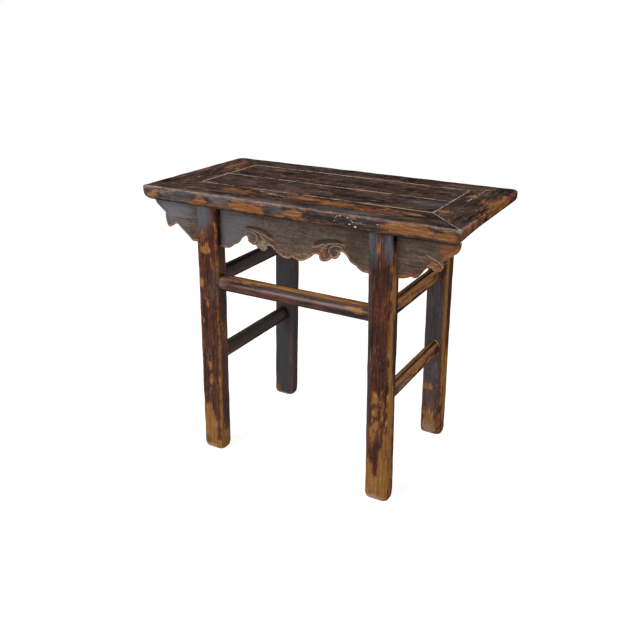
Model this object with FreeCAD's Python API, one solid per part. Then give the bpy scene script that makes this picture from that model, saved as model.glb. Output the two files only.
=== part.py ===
import FreeCAD, Part
import os

from FreeCAD import Vector

# A small recessed-leg altar table: a mitred top frame round two floating boards, four legs
# slotted for one-piece aprons with wing ends, and tenoned stretchers.
# +X runs along the table to its right, +Y from its front to its back, +Z up.
# The origin is on the floor under the middle of the top. Lengths are in millimetres.

# Overall sizes
table_length = 938.0
table_width = 486.0
table_height = 805.0

# Top frame
top_thickness = 40.0
front_rail_width = 122.0
rear_rail_width = 83.0
end_rail_width = 117.0
front_corner_radius = 5.0
rear_corner_radius = 26.0

# Edge of the top: a worn arris above, and a rounding underneath that is deeper at the two ends.
# The middle share says how far in and up the rounding's middle is: 0.29 is full and 0.5 is flat.
edge_arris = 4.0
long_edge_recess = 11.0
long_edge_round_height = 17.0
long_edge_middle_share = 0.30
left_end_recess = 20.0
right_end_recess = 24.0
end_edge_round_height = 24.0
end_edge_middle_share = 0.38

# Panel boards between the rails
panel_thickness = 18.0
panel_tongue_thickness = 8.0
panel_tongue_length = 8.0
front_board_width = 133.0

# Battens across the underside of the panel
batten_spacing = 300.0
batten_width = 32.0
batten_depth = 20.0
dovetail_depth = 6.0
dovetail_neck = 20.0
dovetail_head = 26.0
batten_tenon_width = 20.0
batten_tenon_height = 12.0
batten_tenon_length = 12.0

# Pins in the joint between the two boards
pin_diameter = 7.0
pin_length = 40.0
pin_spacing = 220.0

# Tenons at the corners of the top frame
frame_tenon_thickness = 14.0
front_frame_tenon_width = 40.0
rear_frame_tenon_width = 28.0
frame_tenon_cover = 14.0

# Legs
leg_width = 66.0
leg_depth = 46.0
leg_corner_radius = 4.0
leg_spread_at_floor = 552.0
leg_spread_at_top = 526.0
leg_spacing_deep = 412.0
foot_chamfer = 3.0

# Leg-top tenons into the long rails
leg_tenon_width = 40.0
leg_tenon_height = 26.0
outer_tenon_thickness = 12.0
inner_tenon_thickness = 8.0
outer_tenon_setback = 5.0

# Aprons: a scalloped one in front, and a plain shorter one behind
apron_thickness = 12.0
apron_setback = 21.5
front_apron_end_setback = 10.0
front_apron_depth = 115.0
rear_apron_overhang = 54.0
rear_apron_depth = 90.0
rear_apron_corner_radius = 34.0

# Stretchers: the upper ones are placed down from the top, the lower ones up from the floor
stretcher_height = 47.0
stretcher_depth = 34.0
front_stretcher_drop = 219.0
left_upper_drop = 212.0
right_upper_drop = 218.0
left_lower_up = 309.0
right_lower_up = 302.0
stretcher_tenon_height = 30.0
stretcher_tenon_thickness = 12.0
front_tenon_length = 22.0
side_tenon_length = 34.0

# Hidden wedges that spread the blind tenons
wedge_length = 14.0
wedge_tip = 0.8
wedge_head = 2.4

# Clearances, and one overrun for every cut
joint_clearance = 0.15
mortise_end_gap = 0.5
seasoning_gap = 0.3
overrun = 10.0

# Places worked out from the sizes above
half_length = table_length / 2
half_width = table_width / 2
top_underside = table_height - top_thickness
field_half_length = half_length - end_rail_width
field_front = front_rail_width - half_width
field_rear = half_width - rear_rail_width
board_joint = field_front + front_board_width
panel_underside = table_height - panel_thickness
leg_y = leg_spacing_deep / 2
leg_foot_x = leg_spread_at_floor / 2
leg_top_x = leg_spread_at_top / 2
leg_outer_x = leg_top_x + leg_width / 2
apron_front = leg_y + leg_depth / 2 - apron_setback
apron_back = apron_front - apron_thickness
front_stretcher_up = top_underside - front_stretcher_drop
left_upper_up = top_underside - left_upper_drop
right_upper_up = top_underside - right_upper_drop

# The apron's lower edge from the middle to the leg, then from the leg to the wing's end.
# Each entry is a point to pass through and the end of that stretch; a straight one has no such point.
# Across is a share of the way, and down a share of the apron's depth.
middle_start_share = 0.939
middle_stretch_shares = [
    ((0.043, 0.985), (0.122, 0.991)),
    ((0.198, 0.918), (0.270, 0.809)),
    ((0.309, 0.770), (0.346, 0.787)),
    ((0.357, 0.878), (0.400, 0.913)),
    ((0.452, 0.891), (0.507, 0.803)),
    ((0.565, 0.797), (0.607, 0.704)),
    ((0.615, 0.643), (0.639, 0.617)),
    ((0.683, 0.670), (0.726, 0.783)),
    ((0.757, 0.835), (0.813, 0.883)),
    ((0.865, 0.970), (0.917, 1.000)),
]
left_wing_shares = [
    (None, (0.000, 0.978)),
    (None, (0.190, 0.978)),
    ((0.230, 0.960), (0.252, 0.926)),
    (None, (0.496, 0.642)),
    ((0.540, 0.605), (0.586, 0.635)),
    (None, (0.663, 0.696)),
    ((0.721, 0.709), (0.758, 0.639)),
    ((0.776, 0.548), (0.782, 0.450)),
    ((0.783, 0.406), (0.774, 0.365)),
    (None, (0.957, 0.158)),
    ((0.986, 0.078), (1.000, 0.000)),
]
right_wing_shares = [
    (None, (0.000, 0.990)),
    (None, (0.100, 0.982)),
    ((0.190, 0.948), (0.258, 0.900)),
    ((0.298, 0.925), (0.345, 0.912)),
    ((0.385, 0.860), (0.420, 0.795)),
    (None, (0.468, 0.700)),
    ((0.510, 0.652), (0.560, 0.648)),
    (None, (0.602, 0.685)),
    ((0.690, 0.695), (0.752, 0.612)),
    ((0.763, 0.535), (0.742, 0.462)),
    ((0.815, 0.385), (0.902, 0.287)),
    ((0.978, 0.178), (1.000, 0.000)),
]

# The stretchers' section: a soft ridge on each side and a full shoulder above and below it
ridge_up_share = 0.08
shoulder_across_share = 0.76
shoulder_up_share = 0.74


def block(low, high):
    """A box between two opposite corners, given in any order along each axis."""
    corner = [min(pair) for pair in zip(low, high)]
    size = [abs(b - a) for a, b in zip(low, high)]
    return Part.makeBox(*size, Vector(*corner))


def prism(points, run):
    """A polygon of corner points, extruded along a vector."""
    return Part.Face(Part.makePolygon(points + points[:1])).extrude(run)


def line(a, b):
    return Part.LineSegment(a, b).toShape()


def arc(a, through, b):
    return Part.Arc(a, through, b).toShape()


def face_of(edges):
    """A face bounded by edges given in order."""
    return Part.Face(Part.Wire(edges))


def edges_along(shape, direction):
    """The straight edges of a shape that run along a direction."""
    return [
        edge for edge in shape.Edges
        if abs(direction.dot(edge.Vertexes[-1].Point - edge.Vertexes[0].Point)) > edge.Length / 2
    ]


def top_slab():
    """A slab of the top's plan with a worn top arris, its rear corners rounder than its front ones."""
    slab = block((-half_length, -half_width, top_underside), (half_length, half_width, table_height))
    for face, radius in ((-1, front_corner_radius), (1, rear_corner_radius)):
        corners = [edge for edge in edges_along(slab, Vector(0, 0, 1)) if face * edge.CenterOfMass.y > 0]
        slab = slab.makeFillet(radius, corners)
    rim = [edge for edge in slab.Edges if edge.BoundBox.ZMin > table_height - edge_arris]
    return slab.makeFillet(edge_arris, rim)


def edge_section(half_span, recesses, round_height, middle_share, place):
    """The top's section across one direction: a straight band, rounded under to a smaller underside.

    The two recesses are those of the negative and of the positive side.
    """
    left, right = (
        [
            place(side * (half_span - recess), top_underside),
            place(side * (half_span - recess * middle_share), top_underside + round_height * middle_share),
            place(side * half_span, top_underside + round_height),
            place(side * half_span, table_height),
        ]
        for side, recess in zip((-1, 1), recesses)
    )
    left.reverse()
    return face_of([
        arc(*right[:3]), line(right[2], right[3]), line(right[3], left[0]),
        line(left[0], left[1]), arc(*left[1:]), line(left[3], right[0]),
    ])


def top_body():
    """The whole top with its moulded edge, before it is divided into rails and boards."""
    along = edge_section(
        half_width, (long_edge_recess, long_edge_recess), long_edge_round_height, long_edge_middle_share,
        lambda across, up: Vector(-half_length, across, up),
    )
    crosswise = edge_section(
        half_length, (left_end_recess, right_end_recess), end_edge_round_height, end_edge_middle_share,
        lambda across, up: Vector(across, -half_width, up),
    )
    body = along.extrude(Vector(table_length, 0, 0)).common(crosswise.extrude(Vector(0, table_width, 0)))
    return body.common(top_slab())


def rail_plans():
    """Plan polygons of the four rails, which meet on the mitre lines."""
    outer_left, outer_right = (-half_length, -half_width), (half_length, -half_width)
    rear_left, rear_right = (-half_length, half_width), (half_length, half_width)
    inner_left, inner_right = (-field_half_length, field_front), (field_half_length, field_front)
    far_left, far_right = (-field_half_length, field_rear), (field_half_length, field_rear)
    return {
        "front_long_rail": [outer_left, outer_right, inner_right, inner_left],
        "rear_long_rail": [rear_right, rear_left, far_left, far_right],
        "left_end_rail": [outer_left, inner_left, far_left, rear_left],
        "right_end_rail": [outer_right, rear_right, far_right, inner_right],
    }


def plain_rails():
    """The four rails of the top frame with their mitres, before grooves and mortises."""
    body = top_body()
    through = Vector(0, 0, top_thickness + overrun + overrun)
    rails = {}
    for name, corners in rail_plans().items():
        cutter = prism([Vector(x, y, top_underside - overrun) for x, y in corners], through)
        rails[name] = body.common(cutter)
    return rails


def tenon_wedge(end, along, spread, across, thickness):
    """A wedge whose head is flush with a tenon's end, tapering back into the tenon."""
    back = end - along * wedge_length
    points = [
        end + spread * (wedge_head / 2),
        end - spread * (wedge_head / 2),
        back - spread * (wedge_tip / 2),
        back + spread * (wedge_tip / 2),
    ]
    return prism([p - across * (thickness / 2) for p in points], across * thickness)


def frame_tenon(side, y, width, extra):
    """A long rail's tenon into an end rail. Side is -1 on the left and 1 on the right."""
    reach = half_length - frame_tenon_cover + (mortise_end_gap if extra else 0)
    middle = top_underside + top_thickness / 2
    half_thick = frame_tenon_thickness / 2 + extra
    half_wide = width / 2 + extra
    return block(
        (side * field_half_length / 2, y - half_wide, middle - half_thick),
        (side * reach, y + half_wide, middle + half_thick),
    )


def join_frame(rails):
    """Tenons and mortises at the four corners of the frame. Returns the wedges."""
    wedges = []
    places = [
        ("front_long_rail", field_front - front_rail_width / 2, front_frame_tenon_width),
        ("rear_long_rail", field_rear + rear_rail_width / 2, rear_frame_tenon_width),
    ]
    for long_rail, y, width in places:
        for side, end_rail in ((-1, "left_end_rail"), (1, "right_end_rail")):
            end = Vector(side * (half_length - frame_tenon_cover), y, top_underside + top_thickness / 2)
            wedge = tenon_wedge(
                end, Vector(side, 0, 0), Vector(0, 1, 0), Vector(0, 0, 1), frame_tenon_thickness
            )
            rails[long_rail] = rails[long_rail].fuse(frame_tenon(side, y, width, 0)).cut(wedge)
            rails[end_rail] = rails[end_rail].cut(frame_tenon(side, y, width, joint_clearance))
            wedges.append(wedge)
    return wedges


def panel_groove():
    """The groove round the inside of the frame that takes the boards' tongues."""
    reach = panel_tongue_length + mortise_end_gap
    return block(
        (-field_half_length - reach, field_front - reach, panel_underside - joint_clearance),
        (
            field_half_length + reach,
            field_rear + reach,
            panel_underside + panel_tongue_thickness + joint_clearance,
        ),
    )


def panel_board(front, rear, front_tongue, rear_tongue):
    """One board of the panel. A tongue of zero leaves that edge square, for the joint between boards."""
    face_half = field_half_length - seasoning_gap
    tongue_half = field_half_length + panel_tongue_length
    face = block((-face_half, front, panel_underside), (face_half, rear, table_height))
    tongue = block(
        (-tongue_half, front - front_tongue, panel_underside),
        (tongue_half, rear + rear_tongue, panel_underside + panel_tongue_thickness),
    )
    return face.fuse(tongue).removeSplitter()


def panel_boards():
    """The front and the rear board, a seasoning gap clear of the rails and of each other."""
    tongue = panel_tongue_length + seasoning_gap
    near, far = board_joint - seasoning_gap / 2, board_joint + seasoning_gap / 2
    front = panel_board(field_front + seasoning_gap, near, tongue, 0)
    rear = panel_board(far, field_rear - seasoning_gap, 0, tongue)
    return front, rear


def panel_pins(extra):
    """Pins across the joint between the two boards."""
    middle = (panel_underside + table_height) / 2
    length = pin_length + (mortise_end_gap if extra else 0)
    radius = pin_diameter / 2 + extra
    pins = []
    for x in (-pin_spacing, 0, pin_spacing):
        start = Vector(x, board_joint - length / 2, middle)
        pins.append(Part.makeCylinder(radius, length, start, Vector(0, 1, 0)))
    return Part.makeCompound(pins)


def batten_bar(x, front, rear, extra):
    """A bar under the boards with a dovetail up into them, running from front to rear."""
    low = panel_underside - batten_depth
    half = batten_width / 2
    neck = dovetail_neck / 2 + extra
    head = dovetail_head / 2 + extra
    head_up = panel_underside + dovetail_depth + extra
    outline = [
        (-half, low), (half, low), (half, panel_underside), (neck, panel_underside),
        (head, head_up), (-head, head_up), (-neck, panel_underside), (-half, panel_underside),
    ]
    points = [Vector(x + across, front, up) for across, up in outline]
    return prism(points, Vector(0, rear - front, 0))


def batten_tenons(x, extra):
    """The stub tenons at a batten's two ends, as one bar."""
    middle = panel_underside - batten_depth / 2
    half_wide = batten_tenon_width / 2 + extra
    half_high = batten_tenon_height / 2 + extra
    reach = batten_tenon_length + (mortise_end_gap if extra else 0)
    return block(
        (x - half_wide, field_front - reach, middle - half_high),
        (x + half_wide, field_rear + reach, middle + half_high),
    )


def batten(x):
    return batten_bar(x, field_front, field_rear, 0).fuse(batten_tenons(x, 0)).removeSplitter()


def batten_groove(x):
    """The dovetail groove across a board, tongues included."""
    past = panel_tongue_length + overrun
    return batten_bar(x, field_front - past, field_rear + past, joint_clearance)


def leg_axis_x(up):
    """How far a leg's axis stands from the middle of the table at a height."""
    return leg_foot_x + (leg_top_x - leg_foot_x) * up / top_underside


def leg_section(x, y):
    """A rounded rectangle on the floor."""
    half_x, half_y = leg_width / 2, leg_depth / 2
    inset = leg_corner_radius * (1 - 0.5 ** 0.5)
    turns = []
    for sx, sy in ((1, -1), (1, 1), (-1, 1), (-1, -1)):
        on_side = Vector(x + sx * half_x, y + sy * (half_y - leg_corner_radius), 0)
        on_front = Vector(x + sx * (half_x - leg_corner_radius), y + sy * half_y, 0)
        middle = Vector(x + sx * (half_x - inset), y + sy * (half_y - inset), 0)
        turns.append((on_front, middle, on_side) if sx * sy < 0 else (on_side, middle, on_front))
    edges = []
    for turn, following in zip(turns, turns[1:] + turns[:1]):
        edges += [arc(*turn), line(turn[2], following[0])]
    return face_of(edges)


def plain_leg(side, face):
    """A leg before its joints are cut. Side is -1 left and 1 right, face -1 front and 1 rear."""
    lean = Vector(side * (leg_top_x - leg_foot_x), 0, top_underside)
    leg = leg_section(side * leg_foot_x, face * leg_y).extrude(lean)
    foot_edges = [e for e in leg.Edges if e.BoundBox.ZMax < foot_chamfer]
    return leg.makeChamfer(foot_chamfer, foot_edges)


def leg_tenons(side, face, extra):
    """The pair of tenons on a leg's top, one each side of the apron slot."""
    x = side * leg_top_x
    half_wide = leg_tenon_width / 2 + extra
    high = top_underside + leg_tenon_height + (mortise_end_gap if extra else 0)
    outer_far = leg_y + leg_depth / 2 - outer_tenon_setback
    inner_far = apron_back - joint_clearance
    spans = [(outer_far - outer_tenon_thickness, outer_far), (inner_far - inner_tenon_thickness, inner_far)]
    tenons = [
        block(
            (x - half_wide, face * (near - extra), top_underside - overrun),
            (x + half_wide, face * (far + extra), high),
        )
        for near, far in spans
    ]
    return tenons[0].fuse(tenons[1])


def apron_slot(face):
    """The slot through a pair of legs that the apron drops into, open at the top."""
    depth = front_apron_depth if face < 0 else rear_apron_depth
    return block(
        (-half_length, face * (apron_back - joint_clearance), top_underside - depth),
        (half_length, face * (apron_front + joint_clearance), table_height),
    )


def leg_blank(side, face):
    """A leg with its slot and top tenons, before the mortises for the stretchers."""
    body = plain_leg(side, face).fuse(leg_tenons(side, face, 0)).removeSplitter()
    return body.cut(apron_slot(face))


def apron_half(side, wing_shares):
    """The front apron's lower edge from the middle to one wing's end, as edges in order outwards."""
    inner = leg_outer_x - leg_width
    wing = half_length - front_apron_end_setback - leg_outer_x

    def at(start, span, across, down):
        up = top_underside - front_apron_depth * down
        return Vector(side * (start + span * across), -apron_front, up)

    here = at(0, inner, 0, middle_start_share)
    edges = []
    stretches = [(0, inner, entry) for entry in middle_stretch_shares]
    stretches.append((leg_outer_x, wing, (None, (0, 1))))
    stretches += [(leg_outer_x, wing, entry) for entry in wing_shares]
    for start, span, (through, end) in stretches:
        there = at(start, span, *end)
        if through:
            edges.append(arc(here, at(start, span, *through), there))
        else:
            edges.append(line(here, there))
        here = there
    return edges, here


def front_apron():
    """A one-piece apron with its scalloped edge, through both legs to its wing ends."""
    right_edges, right_end = apron_half(1, right_wing_shares)
    left_edges, left_end = apron_half(-1, left_wing_shares)
    outline = right_edges + [line(right_end, left_end)] + left_edges[::-1]
    return face_of(outline).extrude(Vector(0, apron_thickness, 0))


def rear_apron():
    """A plain board through the rear legs, its two lower corners rounded."""
    low = top_underside - rear_apron_depth
    half = leg_outer_x + rear_apron_overhang
    board = block((-half, apron_back, low), (half, apron_front, top_underside))
    across = edges_along(board, Vector(0, 1, 0))
    lower = [edge for edge in across if edge.CenterOfMass.z < low + rear_apron_corner_radius]
    return board.makeFillet(rear_apron_corner_radius, lower)


def stretcher_section(place):
    """The stretchers' section: two soft ridges, with full shoulders above and below them."""
    half_deep, half_high = stretcher_depth / 2, stretcher_height / 2
    ridge = half_high * ridge_up_share
    across = half_deep * shoulder_across_share
    above = ridge + (half_high - ridge) * shoulder_up_share
    below = ridge - (half_high + ridge) * shoulder_up_share
    front, back = place(-half_deep, ridge), place(half_deep, ridge)
    top, bottom = place(0, half_high), place(0, -half_high)
    return face_of([
        arc(front, place(-across, above), top),
        arc(top, place(across, above), back),
        arc(back, place(across, below), bottom),
        arc(bottom, place(-across, below), front),
    ])


def between(bar, legs):
    """The stretch of a bar between two legs, with its shoulders scribed to them."""
    pieces = bar.cut(legs[0]).cut(legs[1]).Solids
    return max(pieces, key=lambda piece: piece.Volume)


def front_tenons(extra):
    """The front stretcher's two tenons, as one bar through it."""
    inner_face = leg_axis_x(front_stretcher_up) - leg_width / 2
    reach = inner_face + front_tenon_length + (mortise_end_gap if extra else 0)
    half_thick = stretcher_tenon_thickness / 2 + extra
    half_high = stretcher_tenon_height / 2 + extra
    return block(
        (-reach, -leg_y - half_thick, front_stretcher_up - half_high),
        (reach, -leg_y + half_thick, front_stretcher_up + half_high),
    )


def front_stretcher():
    """The long stretcher between the front legs, and the wedges in its two tenons."""
    reach = leg_axis_x(front_stretcher_up)
    section = stretcher_section(lambda across, up: Vector(-reach, across - leg_y, front_stretcher_up + up))
    bar = between(section.extrude(Vector(reach + reach, 0, 0)), [plain_leg(-1, -1), plain_leg(1, -1)])
    body = bar.fuse(front_tenons(0)).removeSplitter()
    end_x = reach - leg_width / 2 + front_tenon_length
    wedges = []
    for side in (-1, 1):
        end = Vector(side * end_x, -leg_y, front_stretcher_up)
        wedge = tenon_wedge(
            end, Vector(side, 0, 0), Vector(0, 0, 1), Vector(0, 1, 0), stretcher_tenon_thickness
        )
        body = body.cut(wedge)
        wedges.append(wedge)
    return body, wedges


def side_tenons(side, up, extra):
    """A side stretcher's two tenons, as one bar through it."""
    x = side * leg_axis_x(up)
    reach = leg_y - leg_depth / 2 + side_tenon_length + (mortise_end_gap if extra else 0)
    half_thick = stretcher_tenon_thickness / 2 + extra
    half_high = stretcher_tenon_height / 2 + extra
    return block((x - half_thick, -reach, up - half_high), (x + half_thick, reach, up + half_high))


def side_stretcher(side, up):
    """A short stretcher between a front and a rear leg, and the wedges in its two tenons."""
    x = side * leg_axis_x(up)
    section = stretcher_section(lambda across, rise: Vector(x + across, -leg_y, up + rise))
    bar = section.extrude(Vector(0, leg_spacing_deep, 0))
    body = between(bar, [plain_leg(side, -1), plain_leg(side, 1)])
    body = body.fuse(side_tenons(side, up, 0)).removeSplitter()
    end_y = leg_y - leg_depth / 2 + side_tenon_length
    wedges = []
    for face in (-1, 1):
        end = Vector(x, face * end_y, up)
        wedge = tenon_wedge(
            end, Vector(0, face, 0), Vector(0, 0, 1), Vector(1, 0, 0), stretcher_tenon_thickness
        )
        body = body.cut(wedge)
        wedges.append(wedge)
    return body, wedges


def top_parts():
    """The top frame, its boards, battens, pins and corner wedges."""
    rails = plain_rails()
    groove = panel_groove()
    rails = {name: rail.cut(groove) for name, rail in rails.items()}
    parts = {"frame_wedges": Part.makeCompound(join_frame(rails))}
    front_board, rear_board = panel_boards()
    for name, side in (("left_batten", -1), ("right_batten", 1)):
        x = side * batten_spacing / 2
        parts[name] = batten(x)
        mortises = batten_tenons(x, joint_clearance)
        for rail in ("front_long_rail", "rear_long_rail"):
            rails[rail] = rails[rail].cut(mortises)
        front_board = front_board.cut(batten_groove(x))
        rear_board = rear_board.cut(batten_groove(x))
    sockets = panel_pins(joint_clearance)
    parts["panel_pins"] = panel_pins(0)
    parts["front_panel_board"] = front_board.cut(sockets)
    parts["rear_panel_board"] = rear_board.cut(sockets)
    for face, rail in ((-1, "front_long_rail"), (1, "rear_long_rail")):
        for side in (-1, 1):
            rails[rail] = rails[rail].cut(leg_tenons(side, face, joint_clearance))
    parts.update(rails)
    return parts


def base_parts():
    """The legs, aprons, stretchers and the stretchers' wedges."""
    side_heights = {
        "left_upper_stretcher": (-1, left_upper_up),
        "left_lower_stretcher": (-1, left_lower_up),
        "right_upper_stretcher": (1, right_upper_up),
        "right_lower_stretcher": (1, right_lower_up),
    }
    parts = {"front_apron": front_apron(), "rear_apron": rear_apron()}
    parts["front_stretcher"], wedges = front_stretcher()
    for name, (side, up) in side_heights.items():
        parts[name], more = side_stretcher(side, up)
        wedges += more
    parts["stretcher_wedges"] = Part.makeCompound(wedges)
    for side_name, side in (("left", -1), ("right", 1)):
        for face_name, face in (("front", -1), ("rear", 1)):
            leg = leg_blank(side, face)
            if face < 0:
                leg = leg.cut(front_tenons(joint_clearance))
            for stretcher_side, up in side_heights.values():
                if stretcher_side == side:
                    leg = leg.cut(side_tenons(side, up, joint_clearance))
            parts[f"{face_name}_{side_name}_leg"] = leg
    return parts


def main():
    os.makedirs("parts", exist_ok=True)
    for name, shape in {**top_parts(), **base_parts()}.items():
        shape.exportStep(f"parts/{name}.step")
        print(name, "valid" if shape.isValid() else "NOT VALID", "solids", len(shape.Solids))


main()
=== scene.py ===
import math

import bmesh
import bpy
import numpy as np
from mathutils import Matrix, Vector, geometry, kdtree, noise


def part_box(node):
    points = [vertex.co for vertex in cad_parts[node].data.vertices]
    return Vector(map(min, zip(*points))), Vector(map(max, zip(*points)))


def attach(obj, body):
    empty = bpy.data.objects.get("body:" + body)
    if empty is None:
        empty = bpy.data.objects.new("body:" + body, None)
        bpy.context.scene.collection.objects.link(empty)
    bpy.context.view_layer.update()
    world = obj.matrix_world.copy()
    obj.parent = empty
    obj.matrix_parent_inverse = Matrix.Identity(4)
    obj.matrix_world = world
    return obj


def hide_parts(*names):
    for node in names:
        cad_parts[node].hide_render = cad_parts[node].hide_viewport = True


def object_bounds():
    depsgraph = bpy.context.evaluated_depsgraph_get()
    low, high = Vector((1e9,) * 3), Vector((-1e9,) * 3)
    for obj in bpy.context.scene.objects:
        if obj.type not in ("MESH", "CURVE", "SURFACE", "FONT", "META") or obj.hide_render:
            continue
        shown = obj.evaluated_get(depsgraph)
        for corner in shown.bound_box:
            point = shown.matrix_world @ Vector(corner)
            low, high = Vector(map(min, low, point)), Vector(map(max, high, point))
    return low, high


bl_info = {
    "name": "Worn altar table",
    "version": (1, 0, 0),
    "blender": (4, 5, 0),
    "location": "3D View > Sidebar > Altar Table",
    "description": "Dresses a recessed-leg altar table in old worn lacquer, with a carved front apron",
    "category": "Object",
}

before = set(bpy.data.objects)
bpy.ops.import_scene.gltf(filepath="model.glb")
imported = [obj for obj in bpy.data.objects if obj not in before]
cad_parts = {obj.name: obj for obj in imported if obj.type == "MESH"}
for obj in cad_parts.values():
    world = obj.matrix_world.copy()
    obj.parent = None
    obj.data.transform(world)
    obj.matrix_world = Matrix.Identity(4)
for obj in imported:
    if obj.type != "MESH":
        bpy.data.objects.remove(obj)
cad_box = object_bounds()

# Places read from the frame, in metres
top_low = Vector((cad_box[0][0], cad_box[0][1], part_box("front_long_rail")[0].z))
top_high = Vector(cad_box[1])
top_middle = (top_low + top_high) / 2
board_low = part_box("front_panel_board")[0].z
field_low = Vector((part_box("left_end_rail")[1].x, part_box("front_long_rail")[1].y, board_low))
field_high = Vector((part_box("right_end_rail")[0].x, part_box("rear_long_rail")[0].y, top_high.z))
board_joint = (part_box("front_panel_board")[1].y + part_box("rear_panel_board")[0].y) / 2

RAILS = ("front_long_rail", "rear_long_rail", "left_end_rail", "right_end_rail")
BOARDS = ("front_panel_board", "rear_panel_board")
LEGS = ("front_left_leg", "front_right_leg", "rear_left_leg", "rear_right_leg")
STRETCHERS = (
    "front_stretcher", "left_upper_stretcher", "left_lower_stretcher",
    "right_upper_stretcher", "right_lower_stretcher",
)
BARE_NODES = ("left_batten", "right_batten", "panel_pins", "frame_wedges", "stretcher_wedges")
MARKS = ("worn", "pale", "cool", "dark")

# Each spot of wear or of painted light is its middle, along, across and up, its reach in the same three
# directions, and how strong it is. On the top, in shares of the top's box
top_mark_shares = {
    "worn": [
        (0.035, 0, 0.45, 0.04, 0.1, 0.35, 0.6), (0.215, 0, 0.6, 0.03, 0.1, 0.5, 0.6),
        (0.19, 0, 0.22, 0.05, 0.1, 0.25, 0.7), (0.375, 0, 0.42, 0.09, 0.1, 0.4, 0.95),
        (0.525, 0, 0.52, 0.045, 0.1, 0.36, 1.1), (0.525, 0, 0.17, 0.012, 0.1, 0.12, 0.9),
        (0.62, 0, 0.1, 0.03, 0.1, 0.14, 0.6), (0.86, 0, 0.6, 0.085, 0.1, 0.46, 1.7),
        (0.965, 0, 0.5, 0.05, 0.1, 0.42, 0.95),
        (1, 0.3, 0.7, 0.03, 0.38, 0.6, 0.55), (1, 0.65, 0.8, 0.03, 0.35, 0.5, 0.8),
        (0.5, 0, 0.35, 0.6, 0.1, 0.5, 0.36),
        (0, 0.5, 0.55, 0.03, 0.5, 0.4, 0.7), (0.3, 1, 0.55, 0.2, 0.05, 0.4, 0.6),
        (0.75, 1, 0.55, 0.2, 0.05, 0.4, 0.7),
        (0.62, 0.17, 1, 0.11, 0.06, 0.5, 0.66), (0.71, 0.13, 1, 0.07, 0.05, 0.5, 0.5),
        (0.845, 0.165, 1, 0.035, 0.03, 0.5, 0.95), (0.78, 0.18, 1, 0.07, 0.035, 0.5, 0.45),
        (0.52, 0.18, 1, 0.08, 0.05, 0.5, 0.6), (0.3, 0.16, 1, 0.1, 0.07, 0.5, 0.4),
        (0.18, 0.1, 1, 0.06, 0.05, 0.5, 0.25), (0.896, 0.3, 1, 0.026, 0.035, 0.5, 0.95),
        (0.965, 0.6, 1, 0.035, 0.1, 0.5, 0.35), (0.908, 0.7, 1, 0.02, 0.045, 0.5, 0.6),
        (0.09, 0.75, 1, 0.05, 0.2, 0.5, 0.3), (0.24, 0.76, 1, 0.09, 0.03, 0.5, 0.3),
        (0.63, 0.52, 1, 0.1, 0.05, 0.5, 0.35), (0.42, 0.62, 1, 0.08, 0.03, 0.5, 0.3),
        (0.75, 0.8, 1, 0.08, 0.04, 0.5, 0.4),
    ],
    # Pale marks; the one on the front right corner is a painted highlight
    "pale": [
        (0.69, 0, 0.6, 0.06, 0.1, 0.45, 0.45), (0.995, 0.01, 0.95, 0.012, 0.035, 0.35, 1.3),
        (0.27, 0, 0.65, 0.03, 0.1, 0.35, 0.4), (0.06, 0, 0.5, 0.12, 0.1, 0.5, 0.5),
        (0.4, 0.19, 1, 0.05, 0.035, 0.5, 0.5), (0.912, 0.69, 1, 0.012, 0.03, 0.5, 0.6),
        (0.8, 0.42, 1, 0.06, 0.05, 0.5, 0.3),
    ],
    # Blue-grey marks: painted sheen on the top and painted reflections on its front edge
    "cool": [
        (0.66, 0.05, 1, 0.12, 0.05, 0.6, 0.8), (0.82, 0.4, 1, 0.1, 0.08, 0.5, 0.55),
        (0.275, 0.77, 1, 0.08, 0.03, 0.5, 0.4), (0.14, 0, 0.55, 0.07, 0.1, 0.5, 0.9),
        (0.28, 0, 0.7, 0.04, 0.1, 0.4, 0.9), (0.47, 0, 0.6, 0.03, 0.1, 0.4, 0.8),
        (0.45, 0.03, 1, 0.12, 0.03, 0.6, 0.6), (0.2, 0.02, 1, 0.12, 0.03, 0.6, 0.7),
    ],
    # Darker lacquer; the low bands on the front and right edges are painted shade under their rounding
    "dark": [
        (0.67, 0, 0.4, 0.13, 0.1, 0.6, 0.5), (0.45, 0, 0.6, 0.03, 0.1, 0.4, 0.5),
        (0.13, 0, 0.6, 0.025, 0.1, 0.4, 0.4), (0.88, 0, 0, 0.16, 0.1, 0.3, 0.7),
        (0.3, 1, 0.9, 0.4, 0.06, 0.4, 0.5), (1, 0.5, 0.2, 0.03, 0.7, 0.35, 0.8),
    ],
}
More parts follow.
